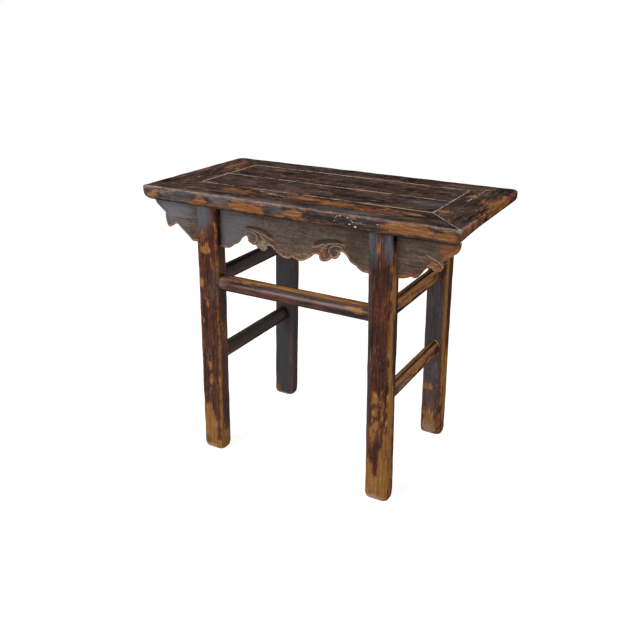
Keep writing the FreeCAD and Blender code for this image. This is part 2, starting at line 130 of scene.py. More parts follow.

# Wear and painted light on the legs, in shares of each leg's width, depth and height, measured along its
# lean.
# The blue-grey marks are painted reflections, most of all near the tops, and the dark marks are largely
# painted shade, most of all on the legs' right faces; the rear left leg is painted dark and blue-grey all
# over as shade
leg_mark_shares = {
    "front_left_leg": {
        "worn": [
            (0.45, 0, 0.838, 0.36, 0.3, 0.02, 1.3), (0.5, 0, 0.856, 0.12, 0.3, 0.02, 0.9),
            (0.3, 0, 0.885, 0.16, 0.3, 0.045, 0.42), (0.7, 0, 0.79, 0.09, 0.3, 0.035, 0.5),
            (0.16, 0, 0.705, 0.16, 0.3, 0.03, 0.95), (0.3, 0, 0.655, 0.09, 0.3, 0.02, 0.7),
            (0.45, 0, 0.63, 0.1, 0.3, 0.03, 0.6), (0.2, 0, 0.56, 0.09, 0.3, 0.025, 0.65),
            (0.45, 0, 0.37, 0.2, 0.3, 0.03, 0.6), (0.5, 0, 0.31, 0.15, 0.3, 0.035, 0.85),
            (0.33, 0, 0.06, 0.46, 0.6, 0.17, 1.5), (0.85, 0, 0.01, 0.35, 0.6, 0.05, 1.0),
            (1, 0.1, 0.35, 0.05, 0.15, 0.4, 0.75), (1, 0.1, 0.78, 0.05, 0.15, 0.15, 0.5),
            (1, 0.6, 0.04, 0.3, 0.7, 0.1, 0.8), (1, 0.5, 0.5, 0.1, 0.4, 0.12, 0.35),
        ],
        "pale": [
            (0.5, 0, 0.26, 0.2, 0.3, 0.03, 0.55), (0.6, 0, 0.7, 0.06, 0.2, 0.01, 0.7),
            (0.4, 0, 0.65, 0.2, 0.3, 0.04, 0.4), (0.5, 0, 0.4, 0.3, 0.3, 0.05, 0.35),
            (0.35, 0, 0.006, 0.5, 0.5, 0.022, 1.5),
        ],
        "cool": [(0.3, 0, 0.98, 0.6, 0.3, 0.09, 1.4), (0.8, 0, 0.7, 0.3, 0.3, 0.1, 0.3)],
        "dark": [
            (1, 0.6, 0.65, 0.1, 0.5, 0.12, 0.8), (0.95, 0.5, 0.99, 0.2, 0.5, 0.05, 0.8),
            (0, 0, 0.9, 0.1, 0.4, 0.2, 0.8), (1, 0, 0.97, 0.1, 0.2, 0.05, 0.7),
            (0.15, 0, 0.03, 0.3, 0.4, 0.03, 0.45), (1, 0.55, 0.35, 0.1, 0.5, 0.2, 0.35),
        ],
    },
    "front_right_leg": {
        "worn": [
            (0.42, 0, 0.95, 0.15, 0.3, 0.03, 0.8), (0.4, 0, 0.41, 0.22, 0.3, 0.035, 0.95),
            (0.42, 0, 0.36, 0.2, 0.3, 0.03, 0.9), (0.5, 0, 0.3, 0.17, 0.3, 0.045, 0.7),
            (0.12, 0, 0.06, 0.3, 0.5, 0.14, 1.3), (0.85, 0, 0.08, 0.4, 0.5, 0.2, 1.15),
            (0.5, 0, 0.03, 0.6, 0.5, 0.09, 1.2), (1, 0.2, 0.5, 0.05, 0.3, 0.42, 1.0),
            (1, 0.35, 0.8, 0.16, 0.5, 0.15, 0.85), (1, 0.3, 0.33, 0.16, 0.7, 0.3, 0.8),
            (1, 0.4, 0.85, 0.1, 0.5, 0.13, 0.7), (0.9, 0, 0.27, 0.2, 0.3, 0.06, 0.7),
            (1, 0.4, 0.1, 0.2, 0.5, 0.14, 0.7), (0.72, 0, 0.4, 0.14, 0.3, 0.12, 0.5),
            (0.3, 0, 0.27, 0.2, 0.3, 0.08, 0.7),
        ],
        "pale": [
            (0.19, 0, 0.38, 0.05, 0.2, 0.02, 0.9), (0.62, 0, 0.41, 0.05, 0.2, 0.02, 0.9),
            (0.55, 0, 0.925, 0.1, 0.2, 0.006, 0.9), (0.62, 0, 0.27, 0.1, 0.3, 0.03, 0.5),
            (0.4, 0, 0.006, 0.6, 0.5, 0.024, 1.4), (1, 0, 0.62, 0.05, 0.1, 0.02, 0.7),
        ],
        "cool": [
            (0.15, 0, 0.96, 0.4, 0.3, 0.09, 1.4), (0.9, 0, 0.96, 0.35, 0.3, 0.07, 1.4),
            (0, 0, 0.6, 0.22, 0.3, 0.6, 0.8),
        ],
        "dark": [
            (0.5, 0, 0.85, 0.5, 0.4, 0.1, 0.25), (1, 0.75, 0.6, 0.1, 0.55, 0.16, 0.9),
            (1, 1, 0.75, 0.1, 0.5, 0.35, 0.8), (1, 0.4, 1, 0.15, 0.8, 0.06, 1.2),
            (0, 0, 0.55, 0.2, 0.4, 0.5, 0.6), (0.5, 0, 0.14, 0.1, 0.3, 0.05, 0.5),
        ],
    },
    "rear_left_leg": {
        "worn": [
            (0.15, 0, 0.02, 0.35, 0.4, 0.045, 1.0), (0.95, 0, 0.3, 0.15, 0.2, 0.16, 0.6),
            (0.5, 0, 0, 0.6, 0.5, 0.02, 0.7), (0.9, 0, 0.85, 0.1, 0.2, 0.08, 0.5),
            (0.5, 1, 0.1, 0.5, 0.4, 0.12, 0.9), (0, 0.6, 0.2, 0.2, 0.5, 0.2, 0.7),
        ],
        "pale": [(0.72, 0, 0.47, 0.06, 0.2, 0.03, 0.3), (0.4, 0, 0.004, 0.6, 0.4, 0.014, 1.0)],
        "cool": [(0.45, 0, 0.55, 1.1, 0.7, 0.9, 1.6)],
        "dark": [(1, 0.5, 0.5, 0.2, 0.7, 0.7, 0.9), (0.4, 0, 0.55, 1.1, 0.7, 0.9, 0.66)],
    },
    "rear_right_leg": {
        "worn": [
            (1, 0, 0.55, 0.2, 0.25, 0.5, 0.95), (0.35, 0, 0.215, 0.32, 0.3, 0.02, 0.95),
            (0.6, 0, 0.375, 0.14, 0.3, 0.02, 0.9), (0.45, 0, 0.05, 0.6, 0.4, 0.1, 0.8),
            (0.4, 0, 0.6, 0.12, 0.3, 0.03, 0.5), (0.65, 0, 0.56, 0.1, 0.3, 0.02, 0.5),
            (1, 0.5, 0.2, 0.2, 0.5, 0.3, 0.8), (0.3, 0, 0.9, 0.3, 0.3, 0.06, 0.5),
        ],
        "pale": [
            (0.4, 0, 0.02, 0.6, 0.4, 0.05, 1.0), (0.85, 0, 0.3, 0.1, 0.2, 0.05, 0.4),
            (0.45, 0, 0.2, 0.5, 0.4, 0.25, 0.5),
        ],
        "cool": [(0.4, 0, 0.5, 0.7, 0.5, 0.6, 0.9)],
        "dark": [(0.5, 0, 0.5, 0.35, 0.4, 0.12, 0.3)],
    },
}

# Wear and painted light on the stretchers, in shares of each one's own box; a side stretcher lies along the
# second share
front_stretcher_mark_shares = {
    "worn": [
        (0.6, 0.3, 0.97, 0.6, 0.3, 0.14, 1.8), (0.88, 0, 0.62, 0.07, 0.5, 0.25, 1.1),
        (0.2, 0.1, 0.85, 0.2, 0.3, 0.1, 0.6),
    ],
    # The long pale mark along the middle is part of the painted highlight on the ridge
    "pale": [
        (0.85, 0, 0.62, 0.06, 0.4, 0.2, 0.9), (0.02, 0, 0.6, 0.05, 0.6, 0.5, 0.8),
        (0.5, 0, 0.6, 0.55, 0.3, 0.07, 0.6),
    ],
    # Blue-grey marks: the long one along the middle is a painted highlight on the ridge
    "cool": [
        (0.55, 0, 0.6, 0.62, 0.3, 0.10, 1.6), (0.03, 0, 0.6, 0.08, 0.5, 0.4, 0.9),
        (0.82, 0, 0.6, 0.2, 0.3, 0.16, 0.9),
    ],
    # Darker lacquer; the one along the bottom is painted shade on the underside
    "dark": [
        (0.5, 0.3, 0.05, 0.6, 0.6, 0.3, 0.5), (0.6, 0.1, 0.84, 0.45, 0.3, 0.07, 0.9),
        (0.5, 0.7, 1, 0.6, 0.2, 0.2, 0.6),
    ],
}
left_stretcher_mark_shares = {
    "worn": [(1, 0.2, 0.25, 0.3, 0.5, 0.2, 0.5)],
    "pale": [],
    "cool": [],
    # The left stretchers are painted dark all over, as shade
    "dark": [(1, 0.6, 0.7, 1.2, 1.1, 0.9, 0.9)],
}
right_stretcher_mark_shares = {
    "worn": [
        (0.42, 0.5, 1, 0.16, 0.7, 0.14, 1.9), (0.86, 0.5, 0.86, 0.15, 0.7, 0.14, 2.0),
        (1, 0.35, 0.5, 0.2, 0.4, 0.2, 0.8), (0.95, 0.75, 0.35, 0.2, 0.2, 0.2, 0.8),
        (0.7, 0.5, 0.7, 0.6, 0.8, 0.5, 0.5),
    ],
    "pale": [(0.9, 0.45, 0.4, 0.4, 0.2, 0.2, 0.5), (0.86, 0.5, 0.86, 0.1, 0.6, 0.1, 0.3)],
    "cool": [],
    "dark": [
        (0.1, 0.5, 0.9, 0.3, 0.6, 0.3, 0.5), (0.6, 0.5, 0.1, 0.5, 0.6, 0.3, 0.35),
        (0.66, 0.5, 1, 0.09, 0.7, 0.12, 0.9),
    ],
}

# Wear and painted light on the front apron, in shares of its box. The blue-grey and dark marks just right of
# the left leg are its painted shadow, and the blue-grey on the left wing is a painted reflection
apron_mark_shares = {
    "worn": [
        (0.98, 0, 0.8, 0.05, 1, 0.35, 1.3), (0.93, 0, 0.39, 0.035, 1, 0.2, 1.1),
        (0.372, 0, 0.335, 0.016, 1, 0.1, 0.95), (0.6, 0, 0.3, 0.03, 1, 0.14, 0.7),
        (0.64, 0, 0.24, 0.02, 1, 0.1, 0.6),
    ],
    "pale": [
        (0.395, 0, 0.24, 0.024, 1, 0.18, 1.5), (0.55, 0, 0.2, 0.05, 1, 0.15, 0.6),
        (0.47, 0, 0.15, 0.05, 1, 0.15, 0.5), (0.06, 0, 0.55, 0.02, 1, 0.06, 0.6),
        (0.85, 0, 0.5, 0.06, 1, 0.25, 0.3), (0.75, 0, 0.06, 0.03, 1, 0.08, 0.6),
    ],
    "cool": [
        (0.29, 0, 0.6, 0.1, 1, 1.1, 1.5), (0.397, 0, 0.24, 0.018, 1, 0.14, 0.7),
        (0.06, 0, 0.8, 0.12, 1, 0.5, 1.8), (0.09, 0, 0.5, 0.05, 1, 0.5, 1.2),
        (0.5, 0, 0.8, 0.18, 1, 0.4, 0.2),
    ],
    "dark": [
        (0.88, 0, 0.3, 0.05, 1, 0.22, 0.5), (0.3, 0, 0.6, 0.09, 1, 1.0, 0.35),
        (0.71, 0, 0.6, 0.05, 1, 0.6, 0.6),
    ],
}

# Carved lines of one scroll, from the apron's middle: across in shares of the way to the leg,
# down in shares of the apron's depth
scroll_hollow_shares = [(0.30, 0.53), (0.36, 0.46), (0.43, 0.42), (0.50, 0.40), (0.57, 0.40), (0.62, 0.42)]
scroll_ridge_shares = [
    [(0.26, 0.62), (0.31, 0.59), (0.37, 0.54), (0.42, 0.50)],
    [(0.37, 0.68), (0.39, 0.62), (0.42, 0.56), (0.465, 0.49), (0.525, 0.46), (0.60, 0.44), (0.68, 0.47)],
    [(0.53, 0.76), (0.49, 0.70), (0.475, 0.62), (0.495, 0.545), (0.545, 0.50), (0.60, 0.50), (0.64, 0.53)],
    [(0.50, 0.74), (0.55, 0.765), (0.60, 0.72), (0.61, 0.64), (0.575, 0.59)],
]
scroll_groove_shares = [
    [(0.44, 0.76), (0.445, 0.68), (0.455, 0.60), (0.49, 0.52), (0.54, 0.475), (0.61, 0.47)],
    [(0.53, 0.69), (0.52, 0.62), (0.55, 0.56)],
]
# The ridge on the right wing: past 1, across is in shares of the way from the leg to the wing's end
right_wing_ridge_shares = [
    (1.49, 0.36), (1.56, 0.41), (1.63, 0.455), (1.70, 0.495), (1.735, 0.54), (1.74, 0.60),
]

# Cracks in the top that hold pale filler, as shares of the top's length and width
crack_shares = [
    [(0.912, 0.915), (0.916, 0.80), (0.914, 0.69), (0.913, 0.58)],
    [(0.914, 0.69), (0.905, 0.73)],
    [(0.35, 0.215), (0.39, 0.19), (0.42, 0.175), (0.45, 0.165)],
]

# A lump of putty on the rear right leg, in shares of its width and height
putty_lump_shares = [(0.76, 0.745), (0.86, 0.757), (0.95, 0.757)]
# Where putty goes round a stretcher, in degrees from the stretcher's right side upwards
lower_putty_turns = (15, 85)
upper_putty_turns = (50, 80)

# White chips on the front edge, as shares of the top's length and thickness
chip_shares = [
    (0.659, 0.80), (0.652, 0.50), (0.701, 0.63), (0.696, 0.40), (0.713, 0.30), (0.776, 0.63),
    (0.667, 0.83), (0.727, 0.58), (0.705, 0.55), (0.655, 0.70), (0.72, 0.45), (0.69, 0.78),
]

# A chip's least and greatest size along the edge, outwards and up, in shares of its radius
chip_least_shares = (0.4, 0.2, 0.3)
chip_most_shares = (1.2, 0.3, 0.9)

# How strong the marks along the top's upper edges are: at the front, and on the other three sides. The
# blue-grey and the pale marks there are painted highlights on the worn arris
edge_cool_shares = (1.9, 0.2)
edge_pale_shares = (2.8, 0.6)
edge_worn_share = 1.1
# How much of the front edge's marks is left on its right half
right_half_share = 0.6
# The pale line in the joints: how far it reaches, in joint roundings, how broken it is, and its limits
joint_reach_share = 2.5
joint_break_shares = (9, 3.0)
joint_limit_shares = (0.8, 3.2)
# Marks on the upright corners of the legs
leg_edge_worn_share = 0.25
leg_edge_pale_share = 0.4
# Marks on the front apron: on the band along its edge, on its ridges, where the pale is partly a painted
# highlight, darker where it lies low, and a painted shade on its bevelled back
band_pale_share = 0.9
wing_band_pale_share = 0.2
band_worn_share = 0.6
ridge_pale_share = 2.0
ridge_worn_share = 0.75
hollow_dark_share = 1.6
band_foot_dark_share = 0.5
apron_back_dark_share = 0.9

# How steeply dents set in and how much of the noise they leave out, and how steeply a spot of wear or of
# painted light does
dent_steepness = 2.2
dent_cut = 0.7
spot_steepness = 1.6
# How much of a crack's hollow is at its full depth, and how flat the filler's bead is
crack_floor_share = 0.5
bead_flat_share = 0.4
bead_least_share = 0.12
# How closely an apron's bevel keeps clear of the other edges, and how much it gives way at each try
bevel_clear_share = 0.98
bevel_retry_share = 0.7
# How much coarser the plain apron's mesh is, how clear of the outline the points inside it keep, and how
# much more closely the sawn edge is measured, all in steps
plain_coarseness = 3
inner_clear_share = 0.6
edge_fineness = 4
# From how many steps apart two points are no longer neighbours on an edge
neighbour_steps = 8
# How far a pattern is drawn out along the grain: dents, fibres, and the ragged borders of bare patches
dent_stretch_share = 0.2
fibre_stretch_share = 0.045
patch_stretch_share = 0.35

# Noise of the shapes: how much each octave fades, how much finer it is, and how many there are
octave_fade = 1.0
octave_fineness = 2.0
octaves = 3
random_seed = 7

# How finely round forms are made
arc_steps = 5
route_steps = 14
stretcher_sides = 44
bead_sides = 8
chip_subdivisions = 2
# How many joint roundings from a joint the even points begin
joint_margin = 3
merge_distance = 0.00002
fill_tolerance = merge_distance / 10
# A distance past every reach, in metres
far_away = 1.0
smooth_angle = math.radians(40)


def length(name, default, description):
    """A size property in metres."""
    return bpy.props.FloatProperty(
        name=name, description=description, default=default, min=0, unit="LENGTH", precision=4
    )


def share(name, default, description):
    """A property without a unit."""
    return bpy.props.FloatProperty(
        name=name, description=description, default=default, min=0, max=2, subtype="FACTOR"
    )


def colour(name, default, description):
    """A colour property."""
    return bpy.props.FloatVectorProperty(
        name=name, description=description, default=default, min=0, max=1, size=3, subtype="COLOR"
    )


class AltarTopSizes(bpy.types.PropertyGroup):
    """The shapes of the top frame and its boards."""

    arris: length("Arris", 0.004, "Radius of the worn upper edge")
    long_recess: length("Long edge recess", 0.011, "How far the long edges run in underneath")
    long_round: length("Long edge rounding", 0.017, "How high the long edges are rounded under")
    long_middle: share("Long edge middle", 0.30, "How full the rounding of the long edges is")
    left_recess: length("Left end recess", 0.020, "How far the left end runs in underneath")
    right_recess: length("Right end recess", 0.024, "How far the right end runs in underneath")
    corner_recess: length("Corner recess", 0.010, "How far it runs in at its front corner")
    corner_reach: length("Corner reach", 0.15, "How far from the front that corner's fullness reaches")
    end_round: length("End edge rounding", 0.024, "How high the two ends are rounded under")
    end_middle: share("End edge middle", 0.38, "How full the rounding of the ends is")
    front_corner: length("Front corner", 0.005, "Radius of the front corners in plan")
    rear_corner: length("Rear corner", 0.026, "Radius of the rear corners in plan")
    joint_round: length("Joint rounding", 0.0012, "Wear along the joints between the timbers")
    seasoning_gap: length("Seasoning gap", 0.0003, "Gap beside the boards")
    step: length("Step", 0.006, "Distance between the points of a surface")


class AltarLegSizes(bpy.types.PropertyGroup):
    """The shapes of the legs."""

    lean: length("Lean", 0.013, "How much further in a leg stands at its top")
    corner: length("Corner", 0.004, "Radius of the corners")
    foot_round: length("Foot rounding", 0.0030, "Wear round the foot's rim")
    foot_corner: length("Foot corner", 0.017, "Radius of the corners at the floor")
    foot_reach: length("Foot reach", 0.020, "How far up the foot's rounder corners reach")
    step: length("Step", 0.006, "Distance between the points of a surface")


class AltarStretcherSizes(bpy.types.PropertyGroup):
    """The shape of the stretchers."""

    ridge: share("Ridge", 0.08, "How far above the middle the ridge runs")
    shoulder: share("Shoulder", 0.31, "How full the section is: less is fuller")
    crease: share("Crease", 1.5, "How sharp the ridge is: less is sharper")
    station: length("Station", 0.006, "Distance between rings")


class AltarApronSizes(bpy.types.PropertyGroup):
    """The carving of the front apron."""

    step: length("Step", 0.0018, "Distance between the points of the carved face")
    rim_round: length("Rim rounding", 0.0018, "Rounding of the sawn edge")
    bead_width: length("Bead width", 0.0065, "Width of the raised band along the edge")
    wing_bead_width: length("Right wing bead width", 0.010, "Width of the band on the right wing")
    bead_fall: length("Bead fall", 0.0025, "Width of the slope beside the band")
    ground_depth: length("Ground depth", 0.0016, "How deep the plain ground lies below the band")
    ridge_height: length("Ridge height", 0.0030, "Height of the scrolls above the ground")
    ridge_width: length("Ridge width", 0.0029, "Half width of a scroll's ridge")
    hollow_depth: length("Hollow depth", 0.0040, "Depth of the hollow behind a scroll")
    hollow_width: length("Hollow width", 0.0065, "Half width of the hollow")
    groove_depth: length("Groove depth", 0.0018, "Depth of the cut between two ridges")
    groove_width: length("Groove width", 0.0022, "Half width of that cut")
    back_bevel: length("Back bevel", 0.004, "How far the back stands in behind the edge")


class AltarWear(bpy.types.PropertyGroup):
    """How deep the wear goes."""

    weathering: length("Weathering", 0.0005, "Depth of the uneven surface")
    edge_loss: length("Edge loss", 0.0014, "Depth of the dents along the edges")
    edge_reach: length("Edge reach", 0.009, "How far from an edge its wear reaches")
    filler_width: length("Filler width", 0.0014, "Half width of the filler in the joints")
    putty_width: length("Putty width", 0.0028, "Half width of the putty round the stretchers")
    chip_size: length("Chip size", 0.0034, "Radius of the white chips")
    crack_depth: length("Crack depth", 0.0008, "How deep the hollow along a crack is")
    crack_reach: length("Crack reach", 0.009, "How far that hollow reaches beside the crack")
    filler_step: length("Filler step", 0.003, "Distance between the rings of the filler")
    swell_size: length("Swell size", 0.05, "Size of a swell in the uneven surface")
    dent_size: length("Dent size", 0.012, "Size of a dent")
    edge_patch_size: length("Edge patch size", 0.02, "Size of a patch along the top's edges")
    joint_patch_size: length("Joint patch size", 0.045, "Size of a patch along the top's joints")
    leg_patch_size: length("Leg patch size", 0.03, "Size of a patch along a leg's corners")
    relief: length("Relief", 0.0006, "Height of the grain and the flakes in the shading")


class AltarColours(bpy.types.PropertyGroup):
    """The colours of the lacquer, the wood under it and its filler, and of the painted highlights and
    reflections on the lacquer.
    """

    top_dark: colour("Top, dark", (0.011, 0.008, 0.008), "Darkest lacquer of the top")
    top_warm: colour("Top, warm", (0.070, 0.045, 0.036), "Brown lacquer of the top")
    leg_dark: colour("Leg, dark", (0.012, 0.007, 0.006), "Darkest lacquer of the legs")
    leg_warm: colour("Leg, warm", (0.125, 0.038, 0.020), "Reddish lacquer of the legs")
    stretcher_dark: colour("Stretcher, dark", (0.016, 0.008, 0.008), "Darkest stretcher lacquer")
    stretcher_warm: colour("Stretcher, warm", (0.130, 0.045, 0.026), "Reddish stretcher lacquer")
    stretcher_light: colour("Stretcher, light", (0.520, 0.250, 0.075), "Lightest wood of the stretchers")
    # The colour of the painted highlight along the front stretcher's ridge
    ridge: colour("Ridge", (0.285, 0.200, 0.195), "Rubbed lacquer along a stretcher's ridge")
    apron_dark: colour("Apron, dark", (0.040, 0.029, 0.024), "Darkest ground of the aprons")
    apron_warm: colour("Apron, warm", (0.185, 0.127, 0.088), "Faded ground of the aprons")
    apron_bare: colour("Apron, bare", (0.235, 0.085, 0.032), "Bare wood along the carving")
    apron_light: colour("Apron, light", (0.330, 0.165, 0.080), "Lightest wood along the carving")
    top_bare: colour("Top, bare", (0.200, 0.072, 0.020), "Bare wood of the top and stretchers")
    top_light: colour("Top, light", (0.370, 0.165, 0.058), "Lightest bare wood of the top")
    rubbed: colour("Rubbed", (0.190, 0.060, 0.020), "Thin reddish lacquer beside a bare patch")
    bare: colour("Bare wood", (0.235, 0.100, 0.026), "Bare wood in the worn patches")
    bare_light: colour("Bare wood, light", (0.410, 0.215, 0.070), "Lightest bare wood")
    # Also the colour of the pale scuffs that stand in part for painted highlights
    pale: colour("Pale", (0.400, 0.290, 0.215), "Pale scratches and filler")
    # Also the colour of the painted sheen and reflections on the top and the legs
    cool: colour("Cool", (0.100, 0.104, 0.120), "Blue-grey bloom on the lacquer")
    # Also the colour of the painted reflection on the left wing and of the painted shadow beside the left
    # leg
    apron_cool: colour("Apron, cool", (0.165, 0.155, 0.168), "Blue-grey bloom on the aprons")
    filler: colour("Filler", (0.560, 0.480, 0.410), "Filler in the joints of the top")
    chalk: colour("Chalk", (0.680, 0.660, 0.660), "White chips and putty")
    softwood: colour("Softwood", (0.200, 0.120, 0.060), "Wood of the hidden pieces")


class AltarStage(bpy.types.PropertyGroup):
    """The camera and the light."""

    eye: bpy.props.FloatVectorProperty(
        name="Eye", description="Place of the camera", size=3, subtype="TRANSLATION",
        default=(0.99493, -1.86345, 1.27681),
    )
    heading: bpy.props.FloatProperty(
        name="Heading", description="Turn of the camera to its left", subtype="ANGLE",
        default=math.radians(28.793),
    )
    dip: bpy.props.FloatProperty(
        name="Dip", description="How far the camera looks down", subtype="ANGLE",
        default=math.radians(22.474),
    )
    roll: bpy.props.FloatProperty(
        name="Roll", description="Turn of the camera about its line of sight", subtype="ANGLE",
        default=math.radians(0.424),
    )
    lens: bpy.props.FloatProperty(
        name="Lens", description="Focal length", default=42.943, unit="CAMERA"
    )
    sky: share("Sky", 0.46, "Strength of the even light")
    sky_tint: colour("Sky tint", (1.0, 0.985, 0.965), "Colour of the even light")
    lamps: share("Lamps", 1.0, "Strength of the lamps")
    floor_width: length("Floor width", 60.0, "Width of the floor")
    floor_drop: length("Floor drop", 0.0004, "How far below the feet the floor lies")
    floor_tone: share("Floor tone", 0.42, "Tone of the floor where shadows fall on it")
    floor_glow: share("Floor glow", 0.82, "Light that lifts the floor to white")
    floor_bounce: share("Floor bounce", 0.8, "Tone of the floor as it lights the table")


class Tree:
    """Adds nodes to a node tree. An input is fed by another node's output, or set to a value."""

    def __init__(self, tree):
        self.tree = tree

    def feed(self, socket, value):
        """Links a node's output to a socket, or sets the socket to a plain value."""
        if isinstance(value, bpy.types.NodeSocket):
            self.tree.links.new(value, socket)
        else:
            socket.default_value = value

    def add(self, kind, inputs, output=0, **settings):
        """Adds a node with its settings and inputs, and returns one of its outputs."""
        node = self.tree.nodes.new(kind)
        for name, value in settings.items():
            setattr(node, name, value)
        for key, value in inputs.items():
            self.feed(node.inputs[key], value)
        return node.outputs[output]

    def math(self, operation, a, b=0.0):
        """A sum, a product or the like of two values."""
        return self.add("ShaderNodeMath", {0: a, 1: b}, operation=operation)

    def vector_math(self, operation, a, b):
        """A sum, a product or the like of two vectors."""
        return self.add("ShaderNodeVectorMath", {0: a, 1: b}, operation=operation)

    def scaled(self, value, factor):
        """A value times a factor."""
        return self.math("MULTIPLY", value, factor)

    def swing(self, value, factor):
        """How far a pattern is from its middle, scaled."""
        return self.scaled(self.math("SUBTRACT", value, 0.5), factor)

    def total(self, first, *others):
        """The sum of two or more values."""
        for other in others:
            first = self.math("ADD", first, other)
        return first

    def rise(self, value, low, high):
        """0 below low and 1 above high, with a soft step between."""
        inputs = {0: value, 1: low, 2: high, 3: 0.0, 4: 1.0}
        return self.add("ShaderNodeMapRange", inputs, interpolation_type="SMOOTHSTEP")

    def noise(self, vector, pattern, output=0):
        """A pattern of the table of patterns, on the given coordinates."""
        scale, detail, roughness, distortion = PATTERNS[pattern]
        inputs = {
            "Vector": vector, "Scale": scale, "Detail": detail, "Roughness": roughness,
            "Distortion": distortion,
        }
        return self.add("ShaderNodeTexNoise", inputs, output)

    def blend(self, factor, a, b):
        """A colour between two colours."""
        return self.add("ShaderNodeMix", {0: factor, 6: a, 7: b}, output=2, data_type="RGBA")


def opaque(value):
    """A colour with its opacity."""
    return (value[0], value[1], value[2], 1.0)


def grey(tone):
    """A grey with its opacity."""
    return (tone, tone, tone, 1.0)


# Noise patterns: scale, detail, roughness and distortion
PATTERNS = {
    "fibre": (250.0, 6.0, 0.7, 0.4),
    "speckle": (120.0, 6.0, 0.72, 0.0),
    "hairs": (430.0, 3.0, 0.6, 0.0),
    "ragged": (110.0, 6.0, 0.68, 0.4),
    "broad": (22.0, 4.0, 0.55, 0.0),
    "specks": (300.0, 3.0, 0.65, 0.0),
    "putty": (300.0, 4.0, 0.6, 0.0),
    "chalk": (500.0, 4.0, 0.6, 0.0),
    "softwood": (190.0, 5.0, 0.6, 0.5),
    "stretcher bumps": (26.0, 3.0, 0.5, 0.0),
    "bead width": (60.0, 4.0, 0.7, 0.0),
    "bead drift": (45.0, 2.0, 0.5, 0.0),
}

# The darker and the lighter lacquer of each finish, its darker and lighter bare wood, and its bloom, which
# also colours its painted sheen and reflections; on the stretchers that last is the painted highlight along
# the ridge
FINISH_COLOURS = {
    "top": ("top_dark", "top_warm", "top_bare", "top_light", "cool"),
    "leg": ("leg_dark", "leg_warm", "bare", "bare_light", "cool"),
    "stretcher": ("stretcher_dark", "stretcher_warm", "bare", "stretcher_light", "ridge"),
    "apron": ("apron_dark", "apron_warm", "apron_bare", "apron_light", "apron_cool"),
}
# How bare, how scuffed, how blue-grey and how dull each finish is, its sheen, how plain its streaks are
# and how mottled it is
finish_shares = {
    "top": (0.035, 0.18, 0.10, 0.42, 0.15, 0.07, 0.3),
    "leg": (0.09, 0.12, 0.0, 0.36, 0.08, 0.10, 0.3),
    "stretcher": (0.04, 0.06, 0.0, 0.30, 0.12, 0.06, 0.2),
    "apron": (-0.02, 0.14, 0.10, 0.55, 0.06, 0.14, 0.5),
}

# The levels of a pattern between which each part of a finish comes in
level_shares = {
    "bare": (0.52, 0.66), "thin": (0.12, 0.6), "brown": (0.49, 0.52), "light wood": (0.40, 0.70),
    "stain": (0.54, 0.66), "scuff": (0.78, 0.86), "crumb": (0.70, 0.78), "bloom": (0.45, 0.7),
    "bloom on streaks": (0.26, 0.60), "gloss": (0.72, 0.3), "chalk": (0.35, 0.62),
    "softwood": (0.3, 0.7), "bead width": (0.38, 0.62),
}
# How strongly each part counts: in the loss of the lacquer, in its tone, over other parts, in the
# relief and in the roughness
loss_shares = {"ragged": 2.2, "streaks": 1.6, "broad": 0.9, "dark": -0.3}
tone_shares = {"streaks": 0.7, "broad": 0.3}
# Over other parts, bloom also carries the painted sheen and reflections, and dark carries painted shade
cover_shares = {
    "rubbed": 0.8, "stain": 0.6, "scuff": 0.55, "crumb": 0.8, "bloom": 0.8, "bare over bloom": 0.8,
    "dark": 0.85,
}
scuff_shares = {"ragged": 0.5, "pale": 0.14}
crumb_pale_share = 0.22
relief_shares = {"streaks": 0.6, "worn": 0.6, "scratched": 0.3}
rough_shares = {"worn": 0.2, "streaks": 0.25, "least": -0.1}
# The strength of the relief in the shading, the roughness and the sheen of what is matt
lacquer_bump = 0.6
CHALK_SURFACE = (0.5, 0.8, 0.2)
SOFTWOOD_SURFACE = (0.4, 0.75, 0.25)


def new_material(name):
    """A new material, its tree, its shader and its object coordinates."""
    material = bpy.data.materials.new(name)
    material.use_nodes = True
    tree = Tree(material.node_tree)
    place = tree.add("ShaderNodeTexCoord", {}, output=3)
    return material, tree, tree.tree.nodes["Principled BSDF"], place


def fine_relief(tree, shader, height, strength):
    """Fine relief in the shading, from a pattern."""
    relief = bpy.context.scene.altar_wear.relief
    bump = tree.add("ShaderNodeBump", {"Strength": strength, "Distance": relief, "Height": height})
    tree.feed(shader.inputs["Normal"], bump)


def stretched(tree, place, grain, stretch_share):
    """Coordinates squeezed along the grain, so that a pattern on them is drawn out along it."""
    scale = [1.0, 1.0, 1.0]
    scale[grain] = stretch_share
    return tree.add("ShaderNodeMapping", {"Vector": place, "Scale": scale})


def soft_gloss(tree, shader, level):
    """A sheen that fades at a grazing angle, as on a dull, dusty surface."""
    facing = tree.add("ShaderNodeLayerWeight", {"Blend": 0.5}, output=1)
    sheen = tree.scaled(tree.rise(facing, *level_shares["gloss"]), level)
    tree.feed(shader.inputs["Specular IOR Level"], sheen)


